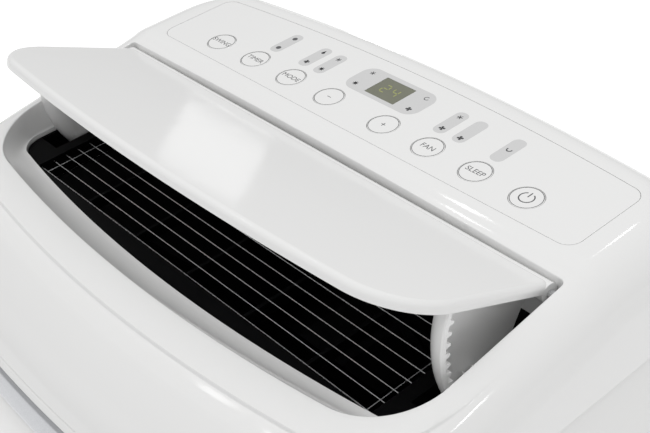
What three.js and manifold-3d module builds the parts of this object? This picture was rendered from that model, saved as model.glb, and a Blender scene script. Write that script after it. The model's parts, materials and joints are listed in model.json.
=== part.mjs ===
import * as THREE from 'three';
import { mergeVertices } from 'three/addons/utils/BufferGeometryUtils.js';
import Module from 'manifold-3d';

const wasm = await Module();
wasm.setup();

// ---------------------------------------------------------------- driving dimensions, mm
const GAP = 0.4;                 // clearance between pieces that touch
const SKIN = 3;                  // wall thickness of the casings
const PANEL_Z = 700;             // height of the control panel
const KEY_ROW_Y = 91;            // centre line of the eight keys
const SEAM_Z = 633;              // lower edge of the top cover
const SEAM_Y = -60;              // joint between the front panel and the rear shell
const BASE_Z = 44;               // underside of the base pan
const SHELL_Z = 50.4;            // lower edge of the front panel and rear shell
const TRIM_Z = 612;              // lower edge of the silver trim
const BEAD_Z = 627;              // lower edge of the bead above the trim

// Outline of the body seen from above: bowed front and back, round corners.
const BODY = {
  halfWidth: 220, front: -170, rear: 170,
  frontBow: 1130, rearBow: 1560, frontCorner: 80, rearCorner: 55,
};
// Width and height of the rounded shoulder along the front, the sides and the back.
const SHOULDER = { front: [67, 110], side: [28, 30], rear: [20, 22] };
// The top falls away in front of the control panel.
const TOP_BREAK = [72, 58.8];    // Y where the fall starts, and where it becomes a straight slope
const TOP_STEP = 2.6;            // fall between the two
const TOP_SLOPE = 0.1436;        // fall per mm after that

// Outlet recess: the opening in the top, and the smaller opening under its sloping lip.
const MOUTH = {
  halfWidth: 194, front: -83, rear: 56.7,
  frontBow: 1130, rearBow: 9000, frontCorner: 46, rearCorner: 3,
};
const THROAT = {
  halfWidth: 191, front: -64, rear: 56.7,
  frontBow: 1130, rearBow: 9000, frontCorner: 36, rearCorner: 3,
};
const LIP_Z = 664;               // lower edge of the lip
const OUTLET_FLOOR_Z = 661;      // top of the black outlet frame

// Swing flap: a lid on two fins, which turn about a cross axis.
const HINGE = { y: 48.7, z: 690 };
const FLAP_ANGLE = 25;           // degrees above the horizontal as it stands
const FLAP_HALF = 190;
const FLAP_REACH = 121;          // axis to the middle of the front edge
const FLAP_TOP = 5.7;            // top face above the axis
const FLAP_PLATE = 3.2;
const FLAP_RIM = 8;
const FIN_RADIUS = 76;
const FIN_SWEEP = 83;            // degrees of the fin's arc below the flap
const FIN_X = [174.4, 178, 189]; // inner face, back of the web, outer face of the rim
const GEAR_MODULE = 2;
const RING_TEETH = 70;
const PINION_TEETH = 10;
const PINION_ANGLE = -35;        // place of the pinion about the hinge, degrees

// Keys, from left to right.
const KEY_NAMES = ['swing', 'timer', 'mode', 'minus', 'plus', 'fan', 'sleep', 'power'];
const KEY_PITCH = 37.65;
const KEY_INNER = 24.9;          // centre of the minus and plus keys
const KEY_RADIUS = 10;
const KEY_SIDES = 16;
const OVERLAY = {
  halfWidth: 183.5, front: 72.3, rear: 144.5,
  frontBow: 90000, rearBow: 1560, frontCorner: 9, rearCorner: 9,
};
const OVERLAY_THICK = 1.2;

// ---------------------------------------------------------------- solids
function toSolid(geometry) {
  const plain = geometry.clone();
  plain.deleteAttribute('normal');
  plain.deleteAttribute('uv');
  const merged = mergeVertices(plain, 1e-4);
  return new wasm.Manifold(new wasm.Mesh({
    numProp: 3,
    vertProperties: new Float32Array(merged.attributes.position.array),
    triVerts: new Uint32Array(merged.index.array),
  }));
}

function toGeometry(solid) {
  const mesh = solid.getMesh();
  const geometry = new THREE.BufferGeometry();
  geometry.setAttribute('position', new THREE.BufferAttribute(mesh.vertProperties, 3));
  geometry.setIndex(new THREE.BufferAttribute(mesh.triVerts, 1));
  return geometry;
}

function joined(...solids) {
  return solids.reduce((a, b) => a.add(b));
}

function cut(solid, ...tools) {
  return tools.reduce((a, b) => a.subtract(b), solid);
}

function box(x0, x1, y0, y1, z0, z1) {
  const geometry = new THREE.BoxGeometry(x1 - x0, y1 - y0, z1 - z0);
  geometry.translate((x0 + x1) / 2, (y0 + y1) / 2, (z0 + z1) / 2);
  return toSolid(geometry);
}

// Extrudes an outline. Along Z the outline is in X and Y, along X it is in Y and Z,
// and along Y it is in X and Z.
function prism(axis, outline, from, to, holes = []) {
  const shape = new THREE.Shape(outline.map(([a, b]) => new THREE.Vector2(a, b)));
  for (const hole of holes) {
    shape.holes.push(new THREE.Path(hole.map(([a, b]) => new THREE.Vector2(a, b))));
  }
  const geometry = new THREE.ExtrudeGeometry(shape, { depth: to - from, bevelEnabled: false });
  geometry.translate(0, 0, from);
  if (axis === 'x') {
    geometry.applyMatrix4(new THREE.Matrix4().set(0, 0, 1, 0, 1, 0, 0, 0, 0, 1, 0, 0, 0, 0, 0, 1));
  }
  if (axis === 'y') {
    geometry.translate(0, 0, -from - to);
    geometry.rotateX(Math.PI / 2);
  }
  return toSolid(geometry);
}

function circle(radius, sides, [a, b] = [0, 0]) {
  return Array.from({ length: sides }, (_, i) => {
    const angle = (2 * Math.PI * (i + 0.5)) / sides;
    return [a + radius * Math.cos(angle), b + radius * Math.sin(angle)];
  });
}

function rod(axis, radius, from, to, centre, sides = 20) {
  return prism(axis, circle(radius, sides, centre), from, to);
}

function rectangle(a0, a1, b0, b1) {
  return [[a0, b0], [a1, b0], [a1, b1], [a0, b1]];
}

// Lathe about the Z axis, then laid along X or Y when asked.
function turned(profile, sides, axis = 'z', [x, y, z] = [0, 0, 0]) {
  const geometry = new THREE.LatheGeometry(profile.map(([r, h]) => new THREE.Vector2(r, h)), sides);
  if (axis === 'z') geometry.rotateX(Math.PI / 2);
  if (axis === 'x') geometry.rotateZ(-Math.PI / 2);
  geometry.translate(x, y, z);
  return toSolid(geometry);
}

// Half of a symmetric outline, from the middle of the front round the +X side to the
// middle of the back, with the outward direction at each point.
function halfLoop(o, { bow = 2, corner = 4, sideY = [] } = {}) {
  const points = [];
  const frontX = o.halfWidth - o.frontCorner;
  const rearX = o.halfWidth - o.rearCorner;
  const frontY = o.front + o.frontBow - Math.sqrt((o.frontBow - o.frontCorner) ** 2 - frontX ** 2);
  const rearY = o.rear - o.rearBow + Math.sqrt((o.rearBow - o.rearCorner) ** 2 - rearX ** 2);
  const frontTurn = Math.atan2(frontX, o.front + o.frontBow - frontY);
  const rearTurn = Math.PI - Math.atan2(rearX, rearY - o.rear + o.rearBow);
  const along = (cx, cy, radius, from, to, steps, skipFirst) => {
    for (let i = skipFirst ? 1 : 0; i <= steps; i++) {
      const angle = from + ((to - from) * i) / steps;
      const nx = Math.sin(angle);
      const ny = -Math.cos(angle);
      points.push({ x: cx + radius * nx, y: cy + radius * ny, nx, ny });
    }
  };
  along(0, o.front + o.frontBow, o.frontBow, 0, frontTurn, bow, false);
  along(frontX, frontY, o.frontCorner, frontTurn, Math.PI / 2, corner, true);
  for (const y of sideY) points.push({ x: o.halfWidth, y, nx: 1, ny: 0 });
  along(rearX, rearY, o.rearCorner, Math.PI / 2, rearTurn, corner, false);
  along(0, o.rear - o.rearBow, o.rearBow, rearTurn, Math.PI, bow, true);
  points[points.length - 1].nx = 0;
  points[points.length - 1].x = 0;
  return points;
}

function mirroredLoop(half, place) {
  const right = half.map(place);
  const left = right.slice(1, -1).reverse().map(([x, y, z]) => [-x, y, z]);
  return [...right, ...left];
}

// Stacks loops of equal length from the bottom up and closes both ends with strips
// that run straight across from side to side.
function loft(loops) {
  const count = loops[0].length;
  const triangles = [];
  const quad = (a, b, c, d) => triangles.push(a, b, c, a, c, d);
  for (let k = 0; k + 1 < loops.length; k++) {
    for (let i = 0; i < count; i++) {
      const next = (i + 1) % count;
      quad(k * count + i, k * count + next, (k + 1) * count + next, (k + 1) * count + i);
    }
  }
  const top = (loops.length - 1) * count;
  for (let i = 0; i < count / 2; i++) {
    const across = (count - i) % count;
    const acrossNext = count - i - 1;
    if (i === 0) {
      triangles.push(top, top + 1, top + count - 1, 0, count - 1, 1);
    } else if (i === count / 2 - 1) {
      triangles.push(top + i, top + i + 1, top + across, i, across, i + 1);
    } else {
      quad(top + i, top + i + 1, top + acrossNext, top + across);
      quad(i, across, acrossNext, i + 1);
    }
  }
  return new wasm.Manifold(new wasm.Mesh({
    numProp: 3,
    vertProperties: new Float32Array(loops.flat(2)),
    triVerts: new Uint32Array(triangles),
  }));
}

function plate(outline, z0, z1, inset = 0, steps = {}) {
  const half = halfLoop(outline, steps);
  const ring = (z) => mirroredLoop(half, (p) => [p.x - p.nx * inset, p.y - p.ny * inset, z]);
  return loft([ring(z0), ring(z1)]);
}

// ---------------------------------------------------------------- body form
function topZ(y) {
  if (y >= TOP_BREAK[0]) return PANEL_Z;
  if (y >= TOP_BREAK[1]) {
    return PANEL_Z - (TOP_STEP * (TOP_BREAK[0] - y)) / (TOP_BREAK[0] - TOP_BREAK[1]);
  }
  return PANEL_Z - TOP_STEP - TOP_SLOPE * (TOP_BREAK[1] - y);
}

function smooth(t) {
  return t * t * (3 - 2 * t);
}

// Shoulder size at a point of the outline: it changes round the corners only.
function shoulderAt(p) {
  const turn = Math.atan2(p.nx, -p.ny) / (Math.PI / 2);
  const [from, to] = turn <= 1 ? [SHOULDER.front, SHOULDER.side] : [SHOULDER.side, SHOULDER.rear];
  const blend = smooth(Math.min(1, Math.max(0, turn <= 1 ? (turn - 0.08) / 0.92 : (turn - 1) / 0.92)));
  return [0, 1].map((i) => from[i] + (to[i] - from[i]) * blend);
}

// The whole body as one solid, drawn smaller by the given wall thickness.
function bodyForm(wall, bottom) {
  const half = halfLoop(BODY, { sideY: [...TOP_BREAK].reverse() });
  const ring = (angle) => mirroredLoop(half, (p) => {
    const [width, height] = shoulderAt(p);
    const inset = wall + (width - wall) * (1 - Math.cos(angle));
    const y = p.y - p.ny * inset;
    return [p.x - p.nx * inset, y, topZ(y) - wall - (height - wall) * (1 - Math.sin(angle))];
  });
  const foot = mirroredLoop(half, (p) => [p.x - p.nx * wall, p.y - p.ny * wall, bottom]);
  const turns = [0, 22, 45, 67, 90].map((degrees) => (degrees * Math.PI) / 180);
  return loft([foot, ...turns.map(ring)]);
}

const outside = bodyForm(0, SHELL_Z);
const inside = bodyForm(SKIN, BASE_Z - 10);
const casing = cut(outside, inside);

// Recess cutter: straight below the lip, sloping up to the mouth, open at the top.
function recess(grow, bottom) {
  const steps = { sideY: [20] };
  const throat = halfLoop(THROAT, steps);
  const mouth = halfLoop(MOUTH, steps);
  const ring = (half, z) => mirroredLoop(half, (p) => [p.x + p.nx * grow, p.y + p.ny * grow, z(p.y)]);
  return loft([
    ring(throat, () => bottom),
    ring(throat, () => LIP_Z),
    ring(mouth, (y) => topZ(y) + (grow > 0 ? 0.01 : 0)),
    ring(mouth, () => PANEL_Z + 20),
  ]);
}

const keyX = KEY_NAMES.map((_, i) => {
  const step = i < 4 ? i - 3 : i - 4;
  return step * KEY_PITCH + (i < 4 ? -KEY_INNER : KEY_INNER);
});

function topCover() {
  const walls = recess(SKIN, OUTLET_FLOOR_Z - 22).intersect(outside);
  const cover = joined(casing, walls).intersect(box(-300, 300, -300, 300, SEAM_Z, 800));
  const pinionY = HINGE.y + ringCentre() * Math.cos((PINION_ANGLE * Math.PI) / 180) * -1;
  const pinionZ = HINGE.z + ringCentre() * Math.sin((PINION_ANGLE * Math.PI) / 180);
  return cut(
    cover,
    recess(0, OUTLET_FLOOR_Z - 40),
    plate(OVERLAY, PANEL_Z - OVERLAY_THICK - GAP, PANEL_Z + 10, -GAP),
    ...keyX.map((x) => rod('z', KEY_RADIUS + GAP, PANEL_Z - 20, PANEL_Z + 5, [x, KEY_ROW_Y], KEY_SIDES)),
    rod('x', 2.9, -199, -190, [HINGE.y, HINGE.z], 12),
    rod('x', 2.9, 190, 199, [HINGE.y, HINGE.z], 12),
    rod('x', 4.5, 190, 199, [pinionY, pinionZ], 12),
  );
}

function ringCentre() {
  return (GEAR_MODULE * (RING_TEETH - PINION_TEETH)) / 2;
}

const parts = {};

function addPart(name, solid, material, group = root) {
  const mesh = new THREE.Mesh(solid.isBufferGeometry ? solid : toGeometry(solid), material);
  mesh.name = name;
  parts[name] = mesh;
  group.add(mesh);
  return mesh;
}

const root = new THREE.Group();

function finish(color, roughness, metalness = 0) {
  return new THREE.MeshStandardMaterial({ color, roughness, metalness, flatShading: true });
}

const whiteGloss = finish(0xf2f2f0, 0.12);
const whiteSatin = finish(0xe9e9e6, 0.4);
const blackGloss = finish(0x0c0c0d, 0.15);
const blackSatin = finish(0x1a1a1b, 0.5);
const silver = finish(0xb9bcc0, 0.3, 0.9);
const steel = finish(0xc4c6c8, 0.25, 1);
const aluminium = finish(0xb8babd, 0.4, 1);
const copper = finish(0xb87346, 0.3, 1);
const rubber = finish(0x1b1b1c, 0.8);
const smokedWindow = finish(0x6f7265, 0.15);

// ---------------------------------------------------------------- casings
addPart('top_cover', topCover(), whiteGloss);

function lowerCasing(y0, y1, z0, z1) {
  return casing.intersect(box(-300, 300, y0, y1, z0, z1));
}

addPart('trim_bead', lowerCasing(-300, SEAM_Y - GAP, BEAD_Z, SEAM_Z - GAP), whiteSatin);
addPart('silver_trim', lowerCasing(-300, SEAM_Y - GAP, TRIM_Z, BEAD_Z - GAP), silver);
addPart('front_panel', lowerCasing(-300, SEAM_Y - GAP, SHELL_Z, TRIM_Z - GAP), whiteGloss);

// Rear shell, with intake louvres, filter slots, grips, the exhaust and the small fittings.
const REAR_FACE = [120, 200];
const UPPER_INTAKE = { x: [-150, 150], z: [372, 556] };
const LOWER_INTAKE = { x: [12, 172], z: [92, 300] };
const LOUVRE_PITCH = 26;
const LOUVRE_OPEN = 16;
const EXHAUST = { x: -109, z: 240, bore: 66, flange: 78 };
const GRIP = { y: [-5, 85], z: [512, 546], depth: 24 };
const FILTER_Y = [141, 149];
const UPPER_DRAIN = [-185, 345];
const LOWER_DRAIN = [-60, 84];
const CORD = [-178, 130];

function louvres({ x, z }) {
  const slots = [];
  for (let level = z[0]; level + LOUVRE_OPEN <= z[1]; level += LOUVRE_PITCH) {
    slots.push(box(...x, ...REAR_FACE, level, level + LOUVRE_OPEN));
  }
  return slots;
}

function filterSlot([z0, z1]) {
  return box(120, 300, FILTER_Y[0] - 1.5, FILTER_Y[1] + 1.5, z0 - 1.5, z1 + 1.5);
}

const UPPER_FILTER_Z = [366, 562];
const LOWER_FILTER_Z = [86, 306];

addPart('rear_shell', cut(
  lowerCasing(SEAM_Y, 300, SHELL_Z, SEAM_Z - GAP),
  ...louvres(UPPER_INTAKE),
  ...louvres(LOWER_INTAKE),
  filterSlot(UPPER_FILTER_Z),
  filterSlot(LOWER_FILTER_Z),
  rod('y', EXHAUST.flange + GAP, ...REAR_FACE, [EXHAUST.x, EXHAUST.z], 20),
  box(-300, -200, ...GRIP.y, ...GRIP.z),
  box(200, 300, ...GRIP.y, ...GRIP.z),
  rod('y', 9.4, ...REAR_FACE, UPPER_DRAIN, 16),
  rod('y', 9.4, ...REAR_FACE, LOWER_DRAIN, 16),
  rod('y', 8.4, ...REAR_FACE, CORD, 16),
), whiteSatin);

addPart('base_pan', cut(
  joined(
    plate(BODY, BASE_Z, SHELL_Z - GAP, 0),
    plate(BODY, BASE_Z + 2, 76, SKIN + GAP),
  ),
  plate(BODY, SHELL_Z - GAP, 90, SKIN * 2 + GAP),
  ...[-1, 1].flatMap((side) => [-118, 112].map((y) => rod('z', 6.4, 30, 60, [side * 165, y], 14))),
  rod('y', 9.4, ...REAR_FACE, LOWER_DRAIN, 16),
), whiteSatin);

// Grip cups: thin cups let into the sides, open outward.
for (const [name, side] of [['grip_left', -1], ['grip_right', 1]]) {
  const rim = BODY.halfWidth - SKIN - GAP;
  const spans = (grow, from, to) => {
    const x = [side * (rim - from), side * (rim - to)].sort((a, b) => a - b);
    return box(...x, GRIP.y[0] - grow, GRIP.y[1] + grow, GRIP.z[0] - grow, GRIP.z[1] + grow);
  };
  const cup = cut(joined(spans(5, 0, 3), spans(1.6, 0, GRIP.depth)), spans(-GAP, -1, GRIP.depth - 2));
  addPart(name, cup, whiteSatin);
}

// ---------------------------------------------------------------- controls
const overlayHoles = keyX.map((x) => rod('z', KEY_RADIUS + GAP, 690, 705, [x, KEY_ROW_Y], KEY_SIDES));
addPart('control_overlay', cut(
  plate(OVERLAY, PANEL_Z - OVERLAY_THICK, PANEL_Z, 0),
  ...overlayHoles,
  box(-13.2, 13.2, KEY_ROW_Y + 18.7, KEY_ROW_Y + 39.5, 690, 705),
), whiteGloss);

for (const [i, name] of KEY_NAMES.entries()) {
  const cap = turned([
    [0, PANEL_Z - 9], [KEY_RADIUS + 1.8, PANEL_Z - 6.5],
    [KEY_RADIUS + 1.8, PANEL_Z - 5], [KEY_RADIUS, PANEL_Z - 5], [KEY_RADIUS, PANEL_Z], [0, PANEL_Z],
  ], KEY_SIDES);
  const mesh = addPart(`key_${name}`, cap, whiteGloss);
  mesh.position.set(keyX[i], KEY_ROW_Y, 0);
}

const windowY = [KEY_ROW_Y + 19, KEY_ROW_Y + 39.2];
addPart('display_window', box(-12.8, 12.8, ...windowY, PANEL_Z - OVERLAY_THICK, PANEL_Z - 0.1), smokedWindow);
addPart('control_board', joined(
  box(-165, 165, 74, 138, PANEL_Z - 13.2, PANEL_Z - 11.6),
  box(-12, 12, KEY_ROW_Y + 20, KEY_ROW_Y + 38, PANEL_Z - 11.7, PANEL_Z - 4.5),
  ...keyX.map((x) => box(x - 3, x + 3, KEY_ROW_Y - 3, KEY_ROW_Y + 3, PANEL_Z - 11.7, PANEL_Z - 10.2)),
), finish(0x2f5d3a, 0.6));

// ---------------------------------------------------------------- swing flap, drawn closed level
const flap = new THREE.Group();
flap.position.set(0, HINGE.y, HINGE.z);
flap.rotation.x = (-FLAP_ANGLE * Math.PI) / 180;
root.add(flap);

function flapPlate() {
  const outline = {
    halfWidth: FLAP_HALF, front: -FLAP_REACH, rear: 0.2,
    frontBow: 1400, rearBow: 90000, frontCorner: 40, rearCorner: 1,
  };
  const shell = cut(
    plate(outline, FLAP_TOP - FLAP_RIM, FLAP_TOP, 0, { bow: 3, corner: 5 }),
    plate(outline, FLAP_TOP - FLAP_RIM - 1, FLAP_TOP - FLAP_PLATE, 4.5, { bow: 3, corner: 5 }),
    box(-FLAP_HALF - 1, FLAP_HALF + 1, -12, 5, -10, FLAP_TOP - FLAP_PLATE),
    box(-FLAP_HALF - 1, -FIN_X[0] + GAP, -FIN_RADIUS - 2, 5, -10, FLAP_TOP - FLAP_PLATE),
    box(FIN_X[0] - GAP, FLAP_HALF + 1, -FIN_RADIUS - 2, 5, -10, FLAP_TOP - FLAP_PLATE),
    box(-FLAP_HALF - 1, -FIN_X[0] + GAP, -9, 5, -10, 10),
    box(FIN_X[0] - GAP, FLAP_HALF + 1, -9, 5, -10, 10),
  );
  return joined(shell, rod('x', FLAP_TOP, -FIN_X[0] + GAP, FIN_X[0] - GAP, [0, 0], 20));
}

addPart('swing_flap', flapPlate(), whiteGloss, flap);

function polar(radius, degrees) {
  const angle = (degrees * Math.PI) / 180;
  return [-radius * Math.cos(angle), radius * Math.sin(angle)];
}

// Sector under the flap, in Y and Z about the hinge: the angle is zero along the flap
// and grows upward.
function sector(inner, outer, from, to, steps) {
  const arc = (radius) => Array.from({ length: steps + 1 }, (_, i) => (
    polar(radius, from + ((to - from) * i) / steps)));
  return inner > 0 ? [...arc(outer), ...arc(inner).reverse()] : [[0, 0], ...arc(outer)];
}

function toothedArc(from, count) {
  const pitch = 360 / RING_TEETH;
  const pitchRadius = (GEAR_MODULE * RING_TEETH) / 2;
  const points = [];
  for (let i = 0; i < count; i++) {
    const start = from - pitch * i;
    points.push(polar(pitchRadius + 2.4, start - pitch * 0.02));
    points.push(polar(pitchRadius + 2.4, start - pitch * 0.34));
    points.push(polar(pitchRadius - 1.7, start - pitch * 0.57));
    points.push(polar(pitchRadius - 1.7, start - pitch * 0.79));
  }
  points.push(polar(pitchRadius + 2.4, from - pitch * count));
  return points;
}

const UNDERSIDE = FLAP_TOP - FLAP_PLATE - GAP;

function fin(side, toothed) {
  const [inner, back, outer] = FIN_X;
  const span = (from, to) => [side * from, side * to].sort((a, b) => a - b);
  const tip = 1;
  const web = prism('x', sector(0, FIN_RADIUS, tip, -FIN_SWEEP, 14), ...span(inner, back));
  const hub = rod('x', 5.2, ...span(inner, back + 8), [0, 0], 20);
  const arcs = sector(FIN_RADIUS - 4.4, FIN_RADIUS, tip, -FIN_SWEEP, 14);
  let rim = prism('x', arcs, ...span(inner, outer));
  if (toothed) {
    const pitch = 360 / RING_TEETH;
    const teeth = Math.floor((FIN_SWEEP - 2) / pitch);
    const inward = toothedArc(-2, teeth);
    const outward = sector(1, FIN_RADIUS - 1, -2, -2 - pitch * teeth, 14).slice(0, 15);
    rim = joined(rim, prism('x', [...outward, ...inward.reverse()], ...span(back - 0.5, outer)));
  }
  const brace = prism('x', sector(0, FIN_RADIUS - 1, -1, -4, 1), ...span(back - 0.5, back + 4));
  return cut(
    joined(web, hub, rim, toothed ? hub : brace),
    rod('x', 2.9, ...span(inner - 1, outer), [0, 0], 12),
    box(-200, 200, -100, 20, UNDERSIDE, 30),
  );
}

addPart('fin_left', fin(-1, false), whiteGloss, flap);
addPart('fin_right', fin(1, true), whiteGloss, flap);

for (const [name, side] of [['hinge_pin_left', -1], ['hinge_pin_right', 1]]) {
  const from = Math.min(side * (FIN_X[0] + 0.8), side * 198.5);
  const to = Math.max(side * (FIN_X[0] + 0.8), side * 198.5);
  addPart(name, rod('x', 2.5, from, to, [HINGE.y, HINGE.z], 12), steel);
}

// Swing motor outside the right wall of the recess, and its pinion inside the fin's teeth.
const [pinionBack, pinionDrop] = polar(ringCentre(), PINION_ANGLE);
const PINION = [HINGE.y + pinionBack, HINGE.z + pinionDrop];

function pinion() {
  const radius = (GEAR_MODULE * PINION_TEETH) / 2;
  const pitch = 360 / PINION_TEETH;
  const points = [];
  for (let i = 0; i < PINION_TEETH; i++) {
    const start = PINION_ANGLE + pitch * i;
    points.push(polar(radius - 2.2, start + pitch * 0.27));
    points.push(polar(radius - 2.2, start + pitch * 0.73));
    points.push(polar(radius + 1.2, start + pitch * 0.94));
    points.push(polar(radius + 1.2, start + pitch * 1.06));
  }
  const place = points.map(([y, z]) => [y + PINION[0], z + PINION[1]]);
  return cut(
    joined(prism('x', place, 179.5, 188), rod('x', 4, 187.5, 192.5, PINION, 12)),
    rod('x', 2.4, 178, 195, PINION, 12),
  );
}

addPart('swing_pinion', pinion(), whiteSatin);
addPart('swing_motor', joined(
  rod('x', 14, 197.8, 212, PINION, 16),
  rod('x', 4, 194.5, 198, PINION, 16),
  rod('x', 2, 181, 195, PINION, 12),
  box(197.8, 199.4, PINION[0] - 21, PINION[0] + 21, PINION[1] - 4, PINION[1] + 4),
), steel);

// ---------------------------------------------------------------- air outlet
const BAY_X = 163;
const OUTLET_Y = [-51, 46];
const RIB_COUNT = 5;
const WIRE_COUNT = 11;
const WIRE_PITCH = 9.3;
const WIRE_Z = 657;
const FRAME_DEEP = 14;
const FIN_SLOT = { x: [172, 192], y: [-32, 60] };

function outletFrame() {
  const floor = OUTLET_FLOOR_Z;
  const body = plate(THROAT, floor - FRAME_DEEP, floor, GAP);
  const bays = [];
  const pitch = (2 * BAY_X) / (RIB_COUNT + 1);
  for (let i = 0; i <= RIB_COUNT; i++) {
    const left = -BAY_X + i * pitch;
    bays.push(box(left + 1.2, left + pitch - 1.2, ...OUTLET_Y, floor - 30, floor + 1));
  }
  return cut(
    body,
    ...bays,
    box(-BAY_X, BAY_X, ...OUTLET_Y, floor - 5.6, floor + 1),
    ...[-1, 1].map((side) => {
      const x = FIN_SLOT.x.map((value, i) => side * (i === 0 ? value : value + 5));
      return box(Math.min(...x), Math.max(...x), ...FIN_SLOT.y, floor - 30, floor + 1);
    }),
  );
}

addPart('outlet_frame', outletFrame(), blackGloss);

function wireGuard() {
  const first = OUTLET_Y[0] + (OUTLET_Y[1] - OUTLET_Y[0] - WIRE_PITCH * (WIRE_COUNT - 1)) / 2;
  const wires = [];
  for (let i = 0; i < WIRE_COUNT; i++) {
    const y = first + WIRE_PITCH * i;
    wires.push(rod('x', 0.85, -BAY_X + GAP, BAY_X - GAP, [y, WIRE_Z + 1.6], 4));
  }
  const cross = [-1, 1].map((side) => (
    rod('y', 0.9, OUTLET_Y[0] + GAP, OUTLET_Y[1] - GAP, [side * (BAY_X - 6), WIRE_Z + 0.4], 4)));
  return joined(...wires, ...cross);
}

addPart('outlet_wires', wireGuard(), steel);

const BLOWER = { x: 0, z: 462, wheel: 88, y: [14, 88] };
const SCROLL_TOP = 572;

// Four-sided funnel between two rectangles, given as x0, x1, y0, y1, z.
function funnel(low, high) {
  const loop = ([x0, x1, y0, y1, z], grow) => [
    [x0 - grow, y0 - grow, z], [x1 + grow, y0 - grow, z], [x1 + grow, y1 + grow, z], [x0 - grow, y1 + grow, z],
  ];
  const solid = (grow, extra) => {
    const bottom = loop([...low.slice(0, 4), low[4] - extra], grow);
    const top = loop([...high.slice(0, 4), high[4] + extra], grow);
    const geometry = new THREE.BufferGeometry();
    geometry.setAttribute('position', new THREE.BufferAttribute(new Float32Array([...bottom, ...top].flat()), 3));
    geometry.setIndex([0, 2, 1, 0, 3, 2, 4, 5, 6, 4, 6, 7,
      ...[0, 1, 2, 3].flatMap((i) => [i, (i + 1) % 4, ((i + 1) % 4) + 4, i, ((i + 1) % 4) + 4, i + 4])]);
    return toSolid(geometry);
  };
  return cut(solid(2, 0), solid(0, 0.2));
}

addPart('outlet_duct', funnel(
  [-30, 132, BLOWER.y[0] + 2, BLOWER.y[1] - 2, SCROLL_TOP + GAP],
  [3 - BAY_X, BAY_X - 3, OUTLET_Y[0] + 4, OUTLET_Y[1] - 2, OUTLET_FLOOR_Z - FRAME_DEEP - GAP],
), blackGloss);

// ---------------------------------------------------------------- blowers
function bladeWheel(centre, radius, y, blades, bore) {
  const [x, z] = centre;
  const [y0, y1] = y;
  const pieces = [];
  for (let i = 0; i < blades; i++) {
    const angle = (2 * Math.PI * i) / blades;
    const lean = 0.35;
    const tip = (r, a) => [x + r * Math.cos(a), z + r * Math.sin(a)];
    const inner = radius * 0.8;
    const outer = radius - 1;
    const spread = 1.4;
    pieces.push(prism('y', [
      tip(inner, angle - spread / inner), tip(outer, angle + lean - spread / outer),
      tip(outer, angle + lean + spread / outer), tip(inner, angle + spread / inner),
    ], y0 + 1, y1 - 1));
  }
  const back = rod('y', radius, y0, y0 + 3, centre, 20);
  const ring = cut(rod('y', radius, y1 - 4, y1, centre, 20), rod('y', radius * 0.76, y1 - 6, y1 + 1, centre, 20));
  const hub = rod('y', bore + 8, y0, y0 + 30, centre, 12);
  return cut(joined(back, ring, hub, ...pieces), rod('y', bore + 0.3, y0 - 1, y0 + 26, centre, 12));
}

function motor(centre, radius, y, shaft, shaftEnd) {
  const [y0, y1] = y;
  return joined(
    rod('y', radius, y0, y1, centre, 16),
    rod('y', radius * 0.5, y0 - 4, y0 + 1, centre, 12),
    rod('y', shaft, y1 - 1, shaftEnd, centre, 10),
  );
}

// Scroll: outline in X and Z with a throat on one side, an inlet at the back and a
// shaft hole at the front.
function scroll(outline, throat, centre, inlet, y, shaftHole) {
  const [y0, y1] = y;
  const shell = cut(
    prism('y', outline(0), y0, y1),
    prism('y', outline(-2.5), y0 + 2.5, y1 - 2.5),
    throat,
    rod('y', inlet, y1 - 4, y1 + 1, centre, 20),
    rod('y', shaftHole, y0 - 1, y0 + 4, centre, 12),
  );
  return shell;
}

function blowerOutline(grow) {
  const points = [];
  const steps = 16;
  for (let i = 0; i <= steps; i++) {
    const t = i / steps;
    const angle = Math.PI * (1 - 0.02) + Math.PI * t;
    const radius = 101 + 32 * t + grow;
    points.push([BLOWER.x + radius * Math.cos(angle), BLOWER.z + radius * Math.sin(angle)]);
  }
  const right = points[points.length - 1][0];
  points.push([right, SCROLL_TOP], [-32 - grow, SCROLL_TOP]);
  for (let i = 0; i <= 5; i++) {
    const angle = (Math.PI * (110 + 13 * i)) / 180;
    points.push([BLOWER.x + (101 + grow) * Math.cos(angle), BLOWER.z + (101 + grow) * Math.sin(angle)]);
  }
  return points;
}

const scrollY = [BLOWER.y[0] - 6, BLOWER.y[1] + 6];
addPart('blower_scroll', scroll(
  blowerOutline,
  box(-29.5, 129.5, scrollY[0] + 2.5, scrollY[1] - 2.5, SCROLL_TOP - 6, SCROLL_TOP + 5),
  [BLOWER.x, BLOWER.z], 66, scrollY, 9,
), blackSatin);
addPart('blower_wheel', bladeWheel([BLOWER.x, BLOWER.z], BLOWER.wheel, BLOWER.y, 14, 4), blackSatin);
addPart('blower_motor', motor([BLOWER.x, BLOWER.z], 45, [-62, scrollY[0] - 2], 4, BLOWER.y[0] + 20), steel);

const FAN = { x: 96, z: 190, wheel: 80, y: [22, 82] };

function fanOutline(grow) {
  const points = [];
  const steps = 14;
  for (let i = 0; i <= steps; i++) {
    const t = i / steps;
    const angle = (Math.PI * (175 + 275 * t)) / 180;
    const radius = 88 + 22 * t + grow;
    points.push([FAN.x + radius * Math.cos(angle), FAN.z + radius * Math.sin(angle)]);
  }
  const top = FAN.z + 110 + grow;
  points.push([-26, top], [-26, FAN.z + 46 - grow], [22 - grow, FAN.z + 46 - grow]);
  return points;
}

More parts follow.
